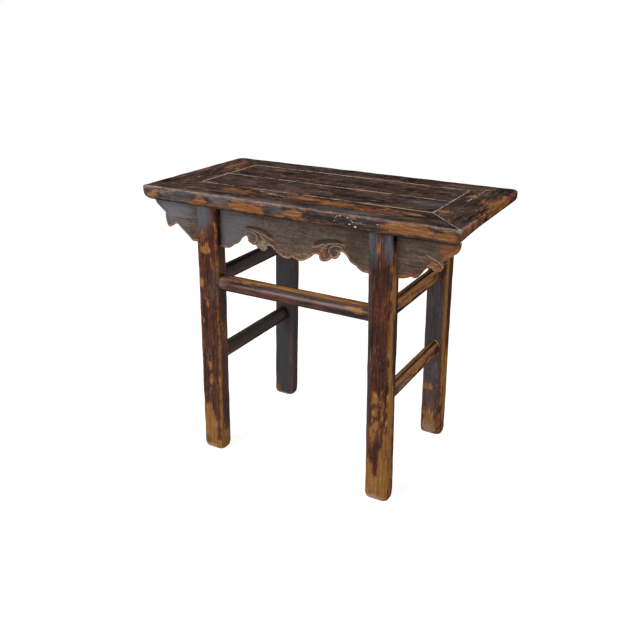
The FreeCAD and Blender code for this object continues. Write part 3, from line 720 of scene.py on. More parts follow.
def worn_lacquer(name, finish, grain):
    """Old lacquer over wood. Grain is 0, 1 or 2, the axis that the wood's fibres follow."""
    shades = bpy.context.scene.altar_colours
    deep, brown, bare, light, cool = (opaque(getattr(shades, key)) for key in FINISH_COLOURS[finish])
    bareness, scuffing, bloom, dullness, sheen, plainness, mottling = finish_shares[finish]
    material, tree, shader, place = new_material(name)
    fibres = stretched(tree, place, grain, fibre_stretch_share)
    flakes = stretched(tree, place, grain, patch_stretch_share)
    marks = {mark: tree.add("ShaderNodeAttribute", {}, output=2, attribute_name=mark) for mark in MARKS}

    speckle = tree.noise(place, "speckle")
    fibre = tree.noise(fibres, "fibre")
    streaks = tree.total(tree.scaled(fibre, 1 - mottling), tree.scaled(speckle, mottling))
    hairs = tree.noise(fibres, "hairs")
    ragged = tree.noise(flakes, "ragged")
    broad = tree.noise(flakes, "broad")
    specks = tree.noise(place, "specks")

    # Where the lacquer has gone: most where it is marked as worn, with ragged, streaky borders
    loss = tree.total(
        marks["worn"], tree.swing(ragged, loss_shares["ragged"]),
        tree.swing(streaks, loss_shares["streaks"]), tree.swing(broad, loss_shares["broad"]),
        tree.scaled(marks["dark"], loss_shares["dark"]), bareness,
    )
    worn = tree.rise(loss, *level_shares["bare"])
    thin = tree.rise(loss, *level_shares["thin"])

    # Streaky lacquer, thin and reddish beside a bare patch, and the wood under it
    tone = tree.total(
        tree.scaled(streaks, tone_shares["streaks"]), tree.scaled(broad, tone_shares["broad"])
    )
    low, high = level_shares["brown"]
    lacquer = tree.blend(tree.rise(tone, low - plainness, high + plainness), deep, brown)
    lacquer = tree.blend(tree.scaled(thin, cover_shares["rubbed"]), lacquer, opaque(shades.rubbed))
    stain = tree.rise(specks, *level_shares["stain"])
    wood = tree.blend(tree.rise(hairs, *level_shares["light wood"]), bare, light)
    wood = tree.blend(tree.scaled(stain, cover_shares["stain"]), wood, brown)
    surface = tree.blend(worn, lacquer, wood)

    # Scuffs along the grain and pale crumbs, more where the pale marks lie, some of which are painted
    # highlights
    scuff = tree.total(
        hairs, tree.swing(ragged, scuff_shares["ragged"]), tree.scaled(marks["pale"], scuff_shares["pale"])
    )
    low, high = level_shares["scuff"]
    scuff = tree.rise(scuff, low - scuffing, high - scuffing)
    crumb = tree.total(specks, tree.scaled(marks["pale"], crumb_pale_share))
    crumb = tree.rise(crumb, *level_shares["crumb"])
    crumb = tree.scaled(crumb, cover_shares["crumb"])
    scratched = tree.math("MAXIMUM", tree.scaled(scuff, cover_shares["scuff"]), crumb)
    surface = tree.blend(scratched, surface, opaque(shades.pale))

    # Blue-grey bloom on the lacquer, with the painted sheen and reflections that the cool marks carry, and
    # the dark marks, partly painted shade
    bloom_and_sheen = tree.total(marks["cool"], tree.scaled(tree.rise(broad, *level_shares["bloom"]), bloom))
    bloom_and_sheen = tree.scaled(bloom_and_sheen, tree.rise(tone, *level_shares["bloom on streaks"]))
    hidden = tree.scaled(worn, cover_shares["bare over bloom"])
    bloom_and_sheen = tree.scaled(bloom_and_sheen, tree.math("SUBTRACT", 1.0, hidden))
    surface = tree.blend(tree.scaled(bloom_and_sheen, cover_shares["bloom"]), surface, cool)
    surface = tree.blend(tree.scaled(marks["dark"], cover_shares["dark"]), surface, deep)

    hollow = tree.scaled(worn, relief_shares["worn"])
    relief = tree.math("SUBTRACT", tree.scaled(streaks, relief_shares["streaks"]), hollow)
    relief = tree.total(relief, tree.scaled(scratched, relief_shares["scratched"]))
    rough = tree.total(
        tree.scaled(worn, rough_shares["worn"]), tree.scaled(streaks, rough_shares["streaks"]),
        dullness + rough_shares["least"],
    )
    tree.feed(shader.inputs["Base Color"], surface)
    tree.feed(shader.inputs["Roughness"], rough)
    fine_relief(tree, shader, relief, lacquer_bump)
    soft_gloss(tree, shader, sheen)
    return material


def matt_surface(tree, shader, colours, height, surface):
    """Ends a matt material. Surface is its relief, its roughness and its sheen."""
    strength, roughness, sheen = surface
    tree.feed(shader.inputs["Base Color"], colours)
    tree.feed(shader.inputs["Roughness"], roughness)
    tree.feed(shader.inputs["Specular IOR Level"], sheen)
    fine_relief(tree, shader, height, strength)


def chalky(name, light, shade, pattern):
    """Putty or chalk: two close tones, broken up."""
    material, tree, shader, place = new_material(name)
    crumbs = tree.noise(place, pattern)
    colours = tree.blend(tree.rise(crumbs, *level_shares["chalk"]), opaque(shade), opaque(light))
    matt_surface(tree, shader, colours, crumbs, CHALK_SURFACE)
    return material


def bare_softwood(name, grain):
    """Unfinished wood with its fibres along an axis."""
    shades = bpy.context.scene.altar_colours
    material, tree, shader, place = new_material(name)
    streaks = tree.noise(stretched(tree, place, grain, fibre_stretch_share), "softwood")
    amount = tree.rise(streaks, *level_shares["softwood"])
    colours = tree.blend(amount, opaque(shades.top_warm), opaque(shades.softwood))
    matt_surface(tree, shader, colours, streaks, SOFTWOOD_SURFACE)
    return material


def spaced(start, end, step):
    """Even places from start to end, about a step apart."""
    count = max(1, round(abs(end - start) / step))
    return [start + (end - start) * k / count for k in range(count + 1)]


def bar_faces(ring, stations):
    """Quads between neighbouring rings of a bar, and a fan over each of its ends."""
    faces = []
    for s in range(stations - 1):
        for k in range(ring):
            a, b = s * ring + k, s * ring + (k + 1) % ring
            faces.append((a, b, b + ring, a + ring))
    first, last = stations * ring, stations * ring + 1
    tail = (stations - 1) * ring
    for k in range(ring):
        following = (k + 1) % ring
        faces.append((first, following, k))
        faces.append((last, tail + k, tail + following))
    return faces


def bar_mesh(name, rings):
    """A closed bar through rings of points, its doubled points merged and its faces outwards."""
    rings = np.array(rings, float)
    ends = [rings[0].mean(0), rings[-1].mean(0)]
    points = np.vstack([rings.reshape(-1, 3), ends])
    mesh = bpy.data.meshes.new(name)
    mesh.from_pydata(points.tolist(), [], bar_faces(rings.shape[1], rings.shape[0]))
    turn_outwards(mesh, merged=True)
    return mesh


def turn_outwards(mesh, merged):
    """Turns a closed mesh's faces outwards, after merging its doubled points where asked."""
    solid = bmesh.new()
    solid.from_mesh(mesh)
    if merged:
        bmesh.ops.remove_doubles(solid, verts=solid.verts, dist=merge_distance)
        bmesh.ops.dissolve_degenerate(solid, edges=solid.edges, dist=merge_distance)
    bmesh.ops.recalc_face_normals(solid, faces=solid.faces)
    solid.to_mesh(mesh)
    solid.free()


def soften(mesh):
    """Smooth shading that keeps the sharp corners."""
    mesh.shade_smooth()
    mesh.set_sharp_from_angle(angle=smooth_angle)


def points_of(mesh):
    """A mesh's points, one to a row."""
    points = np.zeros(len(mesh.vertices) * 3)
    mesh.vertices.foreach_get("co", points)
    return points.reshape(-1, 3)


def normals_of(mesh):
    """The directions that a mesh's points face, one to a row."""
    normals = np.zeros(len(mesh.vertices) * 3)
    mesh.vertex_normals.foreach_get("vector", normals)
    return normals.reshape(-1, 3)


def noise_at(points, grain, size, seed):
    """Uneven values from 0 to 1, drawn out along the grain, if any. Size is that of one bump."""
    places = points / size
    if grain is not None:
        places[:, grain] *= dent_stretch_share
    places += seed
    values = [noise.fractal(Vector(place), octave_fade, octave_fineness, octaves) for place in places]
    return np.clip(0.5 + np.array(values) * 0.5, 0, 1)


def weather(mesh, grain, nearness, hollows=0):
    """Lowers a surface unevenly, never raising it: more near its edges, and by the given hollows."""
    wear = bpy.context.scene.altar_wear
    points, normals = points_of(mesh), normals_of(mesh)
    swell = noise_at(points, grain, wear.swell_size, random_seed)
    dents = noise_at(points, grain, wear.dent_size, random_seed * 2)
    dents = np.clip(dents * dent_steepness - dent_cut, 0, 1)
    loss = wear.weathering * swell + wear.edge_loss * nearness * dents
    points -= normals * (loss + hollows)[:, None]
    mesh.vertices.foreach_set("co", points.ravel())
    mesh.update()


def paint(mesh, shares, marks, extra=()):
    """Stores how worn, pale, cool and dark each point is: by spots in shares, and by what is given extra."""
    extra = dict(extra)
    for mark in MARKS:
        values = np.array(extra.get(mark, np.zeros(len(shares))), float)
        for spot in marks.get(mark, ()):
            offset = (shares - np.array(spot[:3])) / np.array(spot[3:6])
            inside = np.clip((1 - np.linalg.norm(offset, axis=1)) * spot_steepness, 0, 1)
            values = np.maximum(values, spot[6] * inside)
        attribute = mesh.attributes.new(mark, "FLOAT", "POINT")
        attribute.data.foreach_set("value", values)


def placed(name, data):
    """A new object in the scene, made of a mesh, a lamp or a camera."""
    item = bpy.data.objects.new(name, data)
    bpy.context.scene.collection.objects.link(item)
    return item


def show(name, mesh, material, slot, *nodes):
    """Puts a finished piece in the scene in the place of its nodes, if it has any."""
    if material:
        mesh.materials.clear()
        mesh.materials.append(material)
    piece = placed(name, mesh)
    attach(piece, "root")
    if nodes:
        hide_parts(*nodes)


# The top


def edge_inset(up, recess, round_height, middle):
    """How far the top's edge stands in at a height: rounded under below, a worn arris above."""
    arris = bpy.context.scene.altar_top.arris
    power = math.log(middle) / math.log(1 - middle)
    fallen = 1 - np.clip((up - top_low.z) / round_height, 0, 1)
    raised = np.clip(up - (top_high.z - arris), 0, arris)
    return recess * fallen ** power + arris - np.sqrt(arris ** 2 - raised ** 2)


def long_inset(up):
    """How far a long edge stands in."""
    sizes = bpy.context.scene.altar_top
    return edge_inset(up, sizes.long_recess, sizes.long_round, sizes.long_middle)


def end_inset(up, side, along):
    """How far an end stands in: the left one where side is negative, and else the right one."""
    sizes = bpy.context.scene.altar_top
    full = np.clip(1 - (along - top_low.y) / sizes.corner_reach, 0, 1)
    right = sizes.right_recess + (sizes.corner_recess - sizes.right_recess) * full
    return edge_inset(up, np.where(side < 0, sizes.left_recess, right), sizes.end_round, sizes.end_middle)


def rail_section(width, inset):
    """A rail's section as (in from the outer face, up) points, going round from its upper edge."""
    sizes = bpy.context.scene.altar_top
    arris, joint = sizes.arris, sizes.joint_round
    low, high = top_low.z, top_high.z
    turns = [math.pi / 2 * k / arc_steps for k in range(arc_steps + 1)]
    heights = [high - arris * (1 - math.cos(turn)) for turn in turns]
    heights += spaced(high - arris, low + sizes.long_round, sizes.step)[1:]
    heights += spaced(low + sizes.long_round, low, sizes.step / 2)[1:]
    section = [(float(inset(np.float64(up))), up) for up in heights]
    section += [(x, low) for x in spaced(section[-1][0], width, sizes.step * 2)[1:]]
    section += [(width, up) for up in spaced(low, high - joint, sizes.step)[1:]]
    upper = spaced(width - joint * joint_margin, arris, sizes.step)[:-1]
    section += [(x, high) for x in (width - joint, *upper)]
    return section


def joint_stations(run, sizes):
    """Shares along a bar: close together at both ends, where the joint is worn, and then even."""
    edge = sizes.joint_round / run
    inner = spaced(edge * joint_margin, 1 - edge * joint_margin, sizes.step / run)
    return [0, edge, *inner, 1 - edge, 1]


def fit_plan(points):
    """Draws points in to the top's plan at their height, with its corners rounded."""
    sizes = bpy.context.scene.altar_top
    x, y, z = points.T
    insets = np.stack([end_inset(z, x, y), long_inset(z)], axis=1)
    half = np.array([top_high.x, top_high.y]) - insets
    sign = np.where(points[:, :2] < 0, -1, 1)
    plan = np.minimum(np.abs(points[:, :2]), half)
    corner = np.where(points[:, 1] < 0, sizes.front_corner, sizes.rear_corner)[:, None]
    radius = np.maximum(corner - insets, sizes.joint_round)
    past = (plan - (half - radius)) / radius
    reach = np.linalg.norm(np.maximum(past, 0), axis=1)
    outside = (past > 0).all(axis=1) & (reach > 1)
    drawn = half - radius + radius * past / np.maximum(reach, 1)[:, None]
    plan[outside] = drawn[outside]
    points[:, :2] = plan * sign


def rail_mesh(name):
    """One rail of the top frame, between its two mitres, and the axis of its grain."""
    sizes = bpy.context.scene.altar_top
    along = 0 if name in ("front_long_rail", "rear_long_rail") else 1
    across = 1 - along
    side = -1 if name in ("front_long_rail", "left_end_rail") else 1
    outer = top_high[across] * side
    inner = field_low[across] if side < 0 else field_high[across]
    width = abs(inner - outer)

    def inset(up):
        """How far the rail's outer edge stands in at a height."""
        return long_inset(up) if along == 0 else end_inset(up, side, top_low.y)

    section = rail_section(width, inset)
    starts = (-top_high[along], field_low[along])
    ends = (top_high[along], field_high[along])
    rings = []
    for t in joint_stations(top_high[along] * 2, sizes):
        worn = sizes.joint_round * (1 if t in (0, 1) else 0)
        ring = []
        for deep, up in section:
            start = starts[0] + (starts[1] - starts[0]) * deep / width
            end = ends[0] + (ends[1] - ends[0]) * deep / width
            point = [0, 0, min(max(up, top_low.z + worn), top_high.z - worn)]
            point[along] = start + (end - start) * t
            point[across] = outer - side * deep
            ring.append(point)
        rings.append(ring)
    rings = np.array(rings)
    flat = rings.reshape(-1, 3)
    fit_plan(flat)
    return bar_mesh(name, flat.reshape(rings.shape)), along


def board_mesh(name):
    """One board of the panel, its long edges eased, and the axis of its grain."""
    sizes = bpy.context.scene.altar_top
    gap, joint = sizes.seasoning_gap, sizes.joint_round
    near, far = (field_low.y, board_joint) if name == "front_panel_board" else (board_joint, field_high.y)
    near, far = near + gap, far - gap
    low, high = field_low.z, field_high.z
    margin = joint * joint_margin
    across = (near + joint, *spaced(near + margin, far - margin, sizes.step), far - joint)
    section = [(y, high) for y in across]
    section += [(far, up) for up in spaced(high - joint, low, sizes.step)]
    section += [(y, low) for y in spaced(far, near, sizes.step * 2)[1:]]
    section += [(near, up) for up in spaced(low, high - joint, sizes.step)[1:]]
    rings = []
    for t in joint_stations((field_high.x - gap) * 2, sizes):
        worn = joint * (1 if t in (0, 1) else 0)
        x = (field_high.x - gap) * (t * 2 - 1)
        rings.append([(x, y, min(up, high - worn)) for y, up in section])
    return bar_mesh(name, rings), 0


def top_nearness(points):
    """1 on the top's upper edge, falling to 0 away from it."""
    reach = bpy.context.scene.altar_wear.edge_reach
    aside = np.minimum(top_high.x - np.abs(points[:, 0]), top_high.y - np.abs(points[:, 1]))
    distance = np.hypot(aside, top_high.z - points[:, 2])
    return np.clip(1 - distance / reach, 0, 1)


def joint_nearness(points):
    """1 on the joints round and between the top's boards, falling to 0 a few millimetres away."""
    sizes = bpy.context.scene.altar_top
    x, y = np.abs(points[:, 0]), points[:, 1]
    beside = [np.where(x < field_high.x + sizes.joint_round, np.abs(y - joint), far_away)
              for joint in (field_low.y, board_joint, field_high.y)]
    within = (y > field_low.y - sizes.joint_round) & (y < field_high.y + sizes.joint_round)
    beside.append(np.where(within, np.abs(x - field_high.x), far_away))
    distance = np.hypot(np.min(beside, axis=0), top_high.z - points[:, 2])
    return np.clip(1 - distance / (sizes.joint_round * joint_reach_share), 0, 1)


def top_edge_marks(points, nearness):
    """Painted blue-grey and pale highlights and bare spots along the top's upper edges, and pale wear along
    its joints.
    """
    wear = bpy.context.scene.altar_wear
    patchy = noise_at(points, None, wear.edge_patch_size, random_seed * 3)
    broken = noise_at(points, None, wear.joint_patch_size, random_seed * 5)
    front = points[:, 1] < field_low.y
    left = np.where(points[:, 0] < top_middle.x, 1, right_half_share)
    cool, pale = (np.where(front, near * left, far) for near, far in (edge_cool_shares, edge_pale_shares))
    steepness, cut = joint_break_shares
    joints = joint_nearness(points) * np.clip(broken * steepness - cut, *joint_limit_shares)
    return {
        "cool": nearness * cool * patchy,
        "worn": nearness * edge_worn_share * (1 - patchy),
        "pale": np.maximum(nearness * pale * patchy, joints),
    }


def on_top(shares):
    """Places on the top from shares of its length and width."""
    size = top_high - top_low
    return [(top_low.x + x * size.x, top_low.y + y * size.y) for x, y in shares]


def crack_hollows(points):
    """How deep each point of the top is worn down beside a crack."""
    wear = bpy.context.scene.altar_wear
    routes = [smooth_route(on_top(crack)) for crack in crack_shares]
    nearest = np.min([distances(points, tree_of(route)) for route in routes], axis=0)
    above = points[:, 2] > field_low.z
    return wear.crack_depth * np.clip(1 + crack_floor_share - nearest / wear.crack_reach, 0, 1) * above


def build_top():
    """The four rails of the frame and the two boards."""
    lacquers = [worn_lacquer("top lacquer along", "top", 0), worn_lacquer("top lacquer across", "top", 1)]
    for name in RAILS + BOARDS:
        mesh, grain = rail_mesh(name) if name in RAILS else board_mesh(name)
        points = points_of(mesh)
        nearness = top_nearness(points)
        shares = (points - np.array(top_low)) / np.array(top_high - top_low)
        paint(mesh, shares, top_mark_shares, top_edge_marks(points, nearness))
        weather(mesh, grain, nearness, crack_hollows(points))
        soften(mesh)
        show("worn_" + name, mesh, lacquers[grain], "top_lacquer", name)


# The legs


def leg_frame(name):
    """A leg's middle on the floor, its width, its depth, and how far its top leans across."""
    low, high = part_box(name)
    lean = bpy.context.scene.altar_legs.lean
    side = -1 if low.x < 0 else 1
    width = high.x - low.x - lean
    foot_x = low.x + width / 2 if side < 0 else high.x - width / 2
    return Vector((foot_x, (low.y + high.y) / 2, 0)), width, high.y - low.y, -side * lean


def rounded_outline(width, depth, radius, runs):
    """A rectangle's outline about its middle, with round corners and a number of points in each run."""
    outline = []
    corners = [(1, 1), (-1, 1), (-1, -1), (1, -1)]
    for k, (sx, sy) in enumerate(corners):
        centre = Vector((sx * (width / 2 - radius), sy * (depth / 2 - radius)))
        for j in range(arc_steps + 1):
            turn = math.pi / 2 * (k + j / arc_steps)
            outline.append(centre + radius * Vector((math.cos(turn), math.sin(turn))))
        tx, ty = corners[(k + 1) % 4]
        start = outline[-1]
        run = Vector((tx * (width / 2 - radius), ty * (depth / 2 - radius))) - centre
        count = runs[k % 2]
        outline += [start + run * j / count for j in range(1, count)]
    return outline


def leg_mesh(name):
    """A leaning leg with eased corners, rounder towards its worn foot."""
    sizes = bpy.context.scene.altar_legs
    foot, width, depth, lean = leg_frame(name)
    runs = [max(1, round(side / sizes.step)) for side in (width, depth)]
    turns = [math.pi / 2 * k / arc_steps for k in range(arc_steps + 1)]
    levels = [(sizes.foot_round * (1 - math.cos(t)), sizes.foot_round * (1 - math.sin(t))) for t in turns]
    levels += [(up, 0) for up in spaced(sizes.foot_round, sizes.foot_reach, sizes.step / 3)[1:]]
    levels += [(up, 0) for up in spaced(sizes.foot_reach, top_low.z, sizes.step)[1:]]
    rings = []
    for up, inset in levels:
        low_down = max(0, 1 - up / sizes.foot_reach)
        radius = sizes.corner + (sizes.foot_corner - sizes.corner) * low_down ** 2 - inset
        outline = rounded_outline(width - inset * 2, depth - inset * 2, radius, runs)
        x = foot.x + lean * up / top_low.z
        rings.append([(x + p.x, foot.y + p.y, up) for p in outline])
    return bar_mesh(name, rings)


def leg_shares(points, name):
    """Places on a leg in shares of its width, depth and height, measured along its lean."""
    foot, width, depth, lean = leg_frame(name)
    upright = np.array(points)
    upright[:, 0] -= lean * points[:, 2] / top_low.z
    corner = np.array([foot.x - width / 2, foot.y - depth / 2, 0])
    return (upright - corner) / np.array([width, depth, top_low.z])


def leg_nearness(shares, name):
    """1 on a leg's upright corners, falling to 0 away from them."""
    width, depth = leg_frame(name)[1:3]
    aside = (0.5 - np.abs(shares[:, 0] - 0.5)) * width
    back = (0.5 - np.abs(shares[:, 1] - 0.5)) * depth
    return np.clip(1 - np.hypot(aside, back) / bpy.context.scene.altar_wear.edge_reach, 0, 1)


def build_legs():
    """The four legs."""
    lacquer = worn_lacquer("leg lacquer", "leg", 2)
    patch_size = bpy.context.scene.altar_wear.leg_patch_size
    for name in LEGS:
        mesh = leg_mesh(name)
        points = points_of(mesh)
        shares = leg_shares(points, name)
        nearness = leg_nearness(shares, name)
        patchy = noise_at(points, 2, patch_size, random_seed * 4)
        # Bare wood along the upright corners, and pale there, partly a painted highlight
        edges = {
            "worn": nearness * (patchy + leg_edge_worn_share),
            "pale": nearness * (1 - patchy) * leg_edge_pale_share,
        }
        paint(mesh, shares, leg_mark_shares[name], edges)
        weather(mesh, 2, nearness)
        soften(mesh)
        show("worn_" + name, mesh, lacquer, "leg_lacquer", name)


# The stretchers


def new_tree(name, inputs):
    """A geometry node tree with named inputs, ready for its nodes."""
    group = bpy.data.node_groups.new(name, "GeometryNodeTree")
    group.interface.new_socket("Geometry", in_out="INPUT", socket_type="NodeSocketGeometry")
    for label, kind in inputs:
        group.interface.new_socket(label, in_out="INPUT", socket_type="NodeSocket" + kind)
    group.interface.new_socket("Geometry", in_out="OUTPUT", socket_type="NodeSocketGeometry")
    tree = Tree(group)
    given = group.nodes.new("NodeGroupInput").outputs
    return tree, given


def finish_tree(tree, geometry_socket, material_socket):
    """Ends a tree with smooth shading, real geometry and its material."""
    made = tree.add("GeometryNodeSetShadeSmooth", {0: geometry_socket})
    made = tree.add("GeometryNodeRealizeInstances", {0: made})
    made = tree.add("GeometryNodeSetMaterial", {0: made, 2: material_socket})
    tree.feed(tree.tree.nodes.new("NodeGroupOutput").inputs[0], made)


def grown(name, tree, values, seed_mesh=None):
    """The plain mesh that a geometry node tree makes from its named inputs."""
    piece = placed(name, seed_mesh or bpy.data.meshes.new(name))
    modifier = piece.modifiers.new(tree.tree.name, "NODES")
    modifier.node_group = tree.tree
    for item in tree.tree.interface.items_tree:
        if item.in_out == "INPUT" and item.name in values:
            modifier[item.identifier] = values[item.name]
    ready = piece.evaluated_get(bpy.context.evaluated_depsgraph_get())
    mesh = bpy.data.meshes.new_from_object(ready)
    piece.modifiers.clear()
    bpy.data.objects.remove(piece)
    mesh.name = name
    return mesh


def stretcher_tree():
    """A bar swept along a line, its section an oval with a soft ridge on each side."""
    tree, given = new_tree("stretcher", [
        ("Start", "Vector"), ("End", "Vector"), ("Half Depth", "Float"), ("Half Height", "Float"),
        ("Ridge", "Float"), ("Shoulder", "Float"), ("Crease", "Float"), ("Station", "Float"),
        ("Unevenness", "Float"), ("Lacquer", "Material"),
    ])
    path = tree.add("GeometryNodeCurvePrimitiveLine", {"Start": given["Start"], "End": given["End"]})
    resample = {"Curve": path, "Length": given["Station"]}
    path = tree.add("GeometryNodeResampleCurve", resample, mode="LENGTH")
    path = tree.add("GeometryNodeSetCurveNormal", {"Curve": path}, mode="Z_UP")

    circle = tree.add("GeometryNodeCurvePrimitiveCircle", {"Resolution": stretcher_sides, "Radius": 1.0})
    spot = tree.add("GeometryNodeInputPosition", {})
    parts = tree.tree.nodes.new("ShaderNodeSeparateXYZ")
    tree.feed(parts.inputs[0], spot)
    aside, up = parts.outputs[0], parts.outputs[1]
    from_middle = tree.math("ABSOLUTE", up)
    left_over = tree.math("SUBTRACT", 1.0, tree.math("POWER", from_middle, given["Crease"]))
    fullness = tree.math("POWER", tree.math("MAXIMUM", left_over, 0.0), given["Shoulder"])
    across = tree.scaled(tree.math("SIGN", aside), fullness)
    height = tree.total(up, tree.scaled(given["Ridge"], tree.math("SUBTRACT", 1.0, from_middle)))
    outline = tree.add("ShaderNodeCombineXYZ", {
        0: tree.scaled(across, given["Half Depth"]), 1: tree.scaled(height, given["Half Height"]),
    })
    section = tree.add("GeometryNodeSetPosition", {"Geometry": circle, "Position": outline})
    bar = tree.add("GeometryNodeCurveToMesh", {"Curve": path, "Profile Curve": section, "Fill Caps": True})

    bumps = tree.noise(spot, "stretcher bumps")
    normal = tree.add("GeometryNodeInputNormal", {})
    inwards = tree.scaled(tree.scaled(bumps, given["Unevenness"]), -1.0)
    offset = tree.add("ShaderNodeVectorMath", {0: normal, 3: inwards}, operation="SCALE")
    bar = tree.add("GeometryNodeSetPosition", {"Geometry": bar, "Offset": offset})
    finish_tree(tree, bar, given["Lacquer"])
    return tree


def build_stretchers():
    """The front stretcher and the four side stretchers."""
    sizes = bpy.context.scene.altar_stretchers
    wear = bpy.context.scene.altar_wear
    lacquers = [
        worn_lacquer("stretcher lacquer along", "stretcher", 0),
        worn_lacquer("stretcher lacquer across", "stretcher", 1),
    ]
    tree = stretcher_tree()
    for name in STRETCHERS:
        low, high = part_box(name)
        along = 0 if name == "front_stretcher" else 1
        start, end = (low + high) / 2, (low + high) / 2
        start[along], end[along] = low[along], high[along]
        half = (high - low) / 2
        mesh = grown(name, tree, {
            "Start": start, "End": end, "Half Depth": half[1 - along], "Half Height": half.z,
            "Ridge": sizes.ridge, "Shoulder": sizes.shoulder, "Crease": sizes.crease,
            "Station": sizes.station, "Unevenness": wear.weathering * 2, "Lacquer": lacquers[along],
        })
        shares = (points_of(mesh) - np.array(low)) / np.array(high - low)
        if along == 0:
            marks = front_stretcher_mark_shares
        else:
            marks = left_stretcher_mark_shares if low.x < 0 else right_stretcher_mark_shares
        paint(mesh, shares, marks)
        show("worn_" + name, mesh, None, "stretcher_lacquer", name)


# The aprons


def front_outline(node):
    """The outline of a board's front face, as (across, up) points in order."""
    copy = bmesh.new()
    copy.from_mesh(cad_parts[node].data)
    bmesh.ops.remove_doubles(copy, verts=copy.verts, dist=merge_distance)
    front = min(v.co.y for v in copy.verts)
    faces = [f for f in copy.faces if all(v.co.y < front + merge_distance for v in f.verts)]
    following = {}
    for face in faces:
        for loop in face.loops:
            if loop.link_loop_radial_next.face not in faces:
                following[loop.vert] = loop.link_loop_next.vert
    start = min(following, key=lambda v: (v.co.x, v.co.z))
    outline = [start]
    while following[outline[-1]] is not start:
        outline.append(following[outline[-1]])
    points = [(v.co.x, v.co.z) for v in outline]
    copy.free()
    return points


def between(a, b, step):
    """Points from a towards b, about a step apart, without b itself."""
    count = max(1, round((b - a).length / step))
    return [a.lerp(b, k / count) for k in range(count)]


def resampled(outline, step):
    """A closed outline with points about a step apart, its own corners kept."""
    outline = [Vector(point) for point in outline]
    points = []
    for a, b in zip(outline, outline[1:] + outline[:1]):
        points += between(a, b, step)
    return points


def resampled_runs(points, step):
    """Points about a step apart along runs of neighbouring points."""
    made = []
    for a, b in zip(points, points[1:]):
        if (b - a).length < step * neighbour_steps:
            made += between(a, b, step)
    return made + [points[-1]]


def tree_of(points):
    """Finds the nearest of many points quickly."""
    found = kdtree.KDTree(len(points))
    for k, point in enumerate(points):
        found.insert((point[0], point[1], 0), k)
    found.balance()
    return found


def distances(points, tree):
    """How far each point is from the nearest of a tree's points, seen flat."""
    return np.array([tree.find((p[0], p[1], 0))[2] for p in points])


def smooth_route(points):
    """A smooth line through a few points."""
    points = [Vector(p) for p in points]
    line = [points[0] * 2 - points[1], *points, points[-1] * 2 - points[-2]]
    route = []
    for a, b, c, d in zip(line, line[1:], line[2:], line[3:]):
        for k in range(route_steps):
            t = k / route_steps
            square, cube = a * 2 - b * 5 + c * 4 - d, b * 3 - a - c * 3 + d
            route.append((b * 2 + (c - a) * t + square * t ** 2 + cube * t ** 3) / 2)
    route.append(points[-1])
    return route


def on_apron(shares, side):
    """Places on the apron from shares of the way to the leg, and on from it, and of the apron's depth."""
    low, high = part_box("front_apron")
    foot, width, _, lean = leg_frame("front_right_leg")
    leg_inner = foot.x + lean - width / 2
    leg_outer = foot.x + lean + width / 2
    places = []
    for across, down in shares:
        x = across * leg_inner if across <= 1 else leg_outer + (across - 1) * (high.x - leg_outer)
        places.append((side * x, high.z - down * (high.z - low.z)))
    return places


def ridge_profile(distance, width):
    """1 on a line, falling softly to 0 at a width from it."""
    return np.where(distance < width, np.cos(np.clip(distance / width, 0, 1) * math.pi / 2) ** 2, 0)


def carved_lines(points, lines, side, width):
    """1 on the carved lines of one side of the apron, falling to 0 at a width from them."""
    found = np.zeros(len(points))
    for shares in lines:
        reach = tree_of(smooth_route(on_apron(shares, side)))
        found = np.maximum(found, ridge_profile(distances(points, reach), width))
    return found


def rounded_rim(edge_distance):
    """How far the face stands back in the rounding of the sawn edge."""
    rim_round = bpy.context.scene.altar_apron.rim_round
    rim = np.clip(1 - edge_distance / rim_round, 0, 1)
    return rim_round * (1 - np.sqrt(1 - rim ** 2))


def carved_depth(points, edge_distance):
    """How far each point of the apron's front lies behind its front plane, and its marks."""
    sizes = bpy.context.scene.altar_apron
    points = np.array([tuple(p) for p in points])
    on_wing = points[:, 0] > leg_frame("front_right_leg")[0].x
    bead_width = np.where(on_wing, sizes.wing_bead_width, sizes.bead_width)
    field = np.clip((edge_distance - bead_width) / sizes.bead_fall, 0, 1)
    hollow, ridge, groove = (np.zeros(len(points)) for _ in range(3))
    for side, wing_ridges in ((-1, []), (1, [right_wing_ridge_shares])):
        ridges = scroll_ridge_shares + wing_ridges
        hollow = np.maximum(hollow, carved_lines(points, [scroll_hollow_shares], side, sizes.hollow_width))
        ridge = np.maximum(ridge, carved_lines(points, ridges, side, sizes.ridge_width))
        groove = np.maximum(groove, carved_lines(points, scroll_groove_shares, side, sizes.groove_width))
    depth = rounded_rim(edge_distance) + sizes.ground_depth * field ** 2 * (3 - 2 * field)
    depth += hollow * sizes.hollow_depth * (1 - ridge) + groove * sizes.groove_depth * (1 - ridge)
    depth -= ridge * sizes.ridge_height
    band = 1 - field
    band_foot = ridge_profile(np.abs(edge_distance - bead_width - sizes.bead_fall), sizes.bead_fall)
    low_places = [np.minimum(hollow * hollow_dark_share, 1), groove, band_foot * band_foot_dark_share]
    band_pale = band * np.where(on_wing, wing_band_pale_share, band_pale_share)
    # Pale on the ridges is partly a painted highlight; dark in the hollows, the grooves and at the foot of
    # the band
    marks = {
        "pale": np.maximum(band_pale, ridge * ridge_pale_share),
        "worn": np.maximum(band * band_worn_share, ridge * ridge_worn_share),
        "dark": np.maximum.reduce(low_places) * (1 - ridge),
    }
    return depth, marks


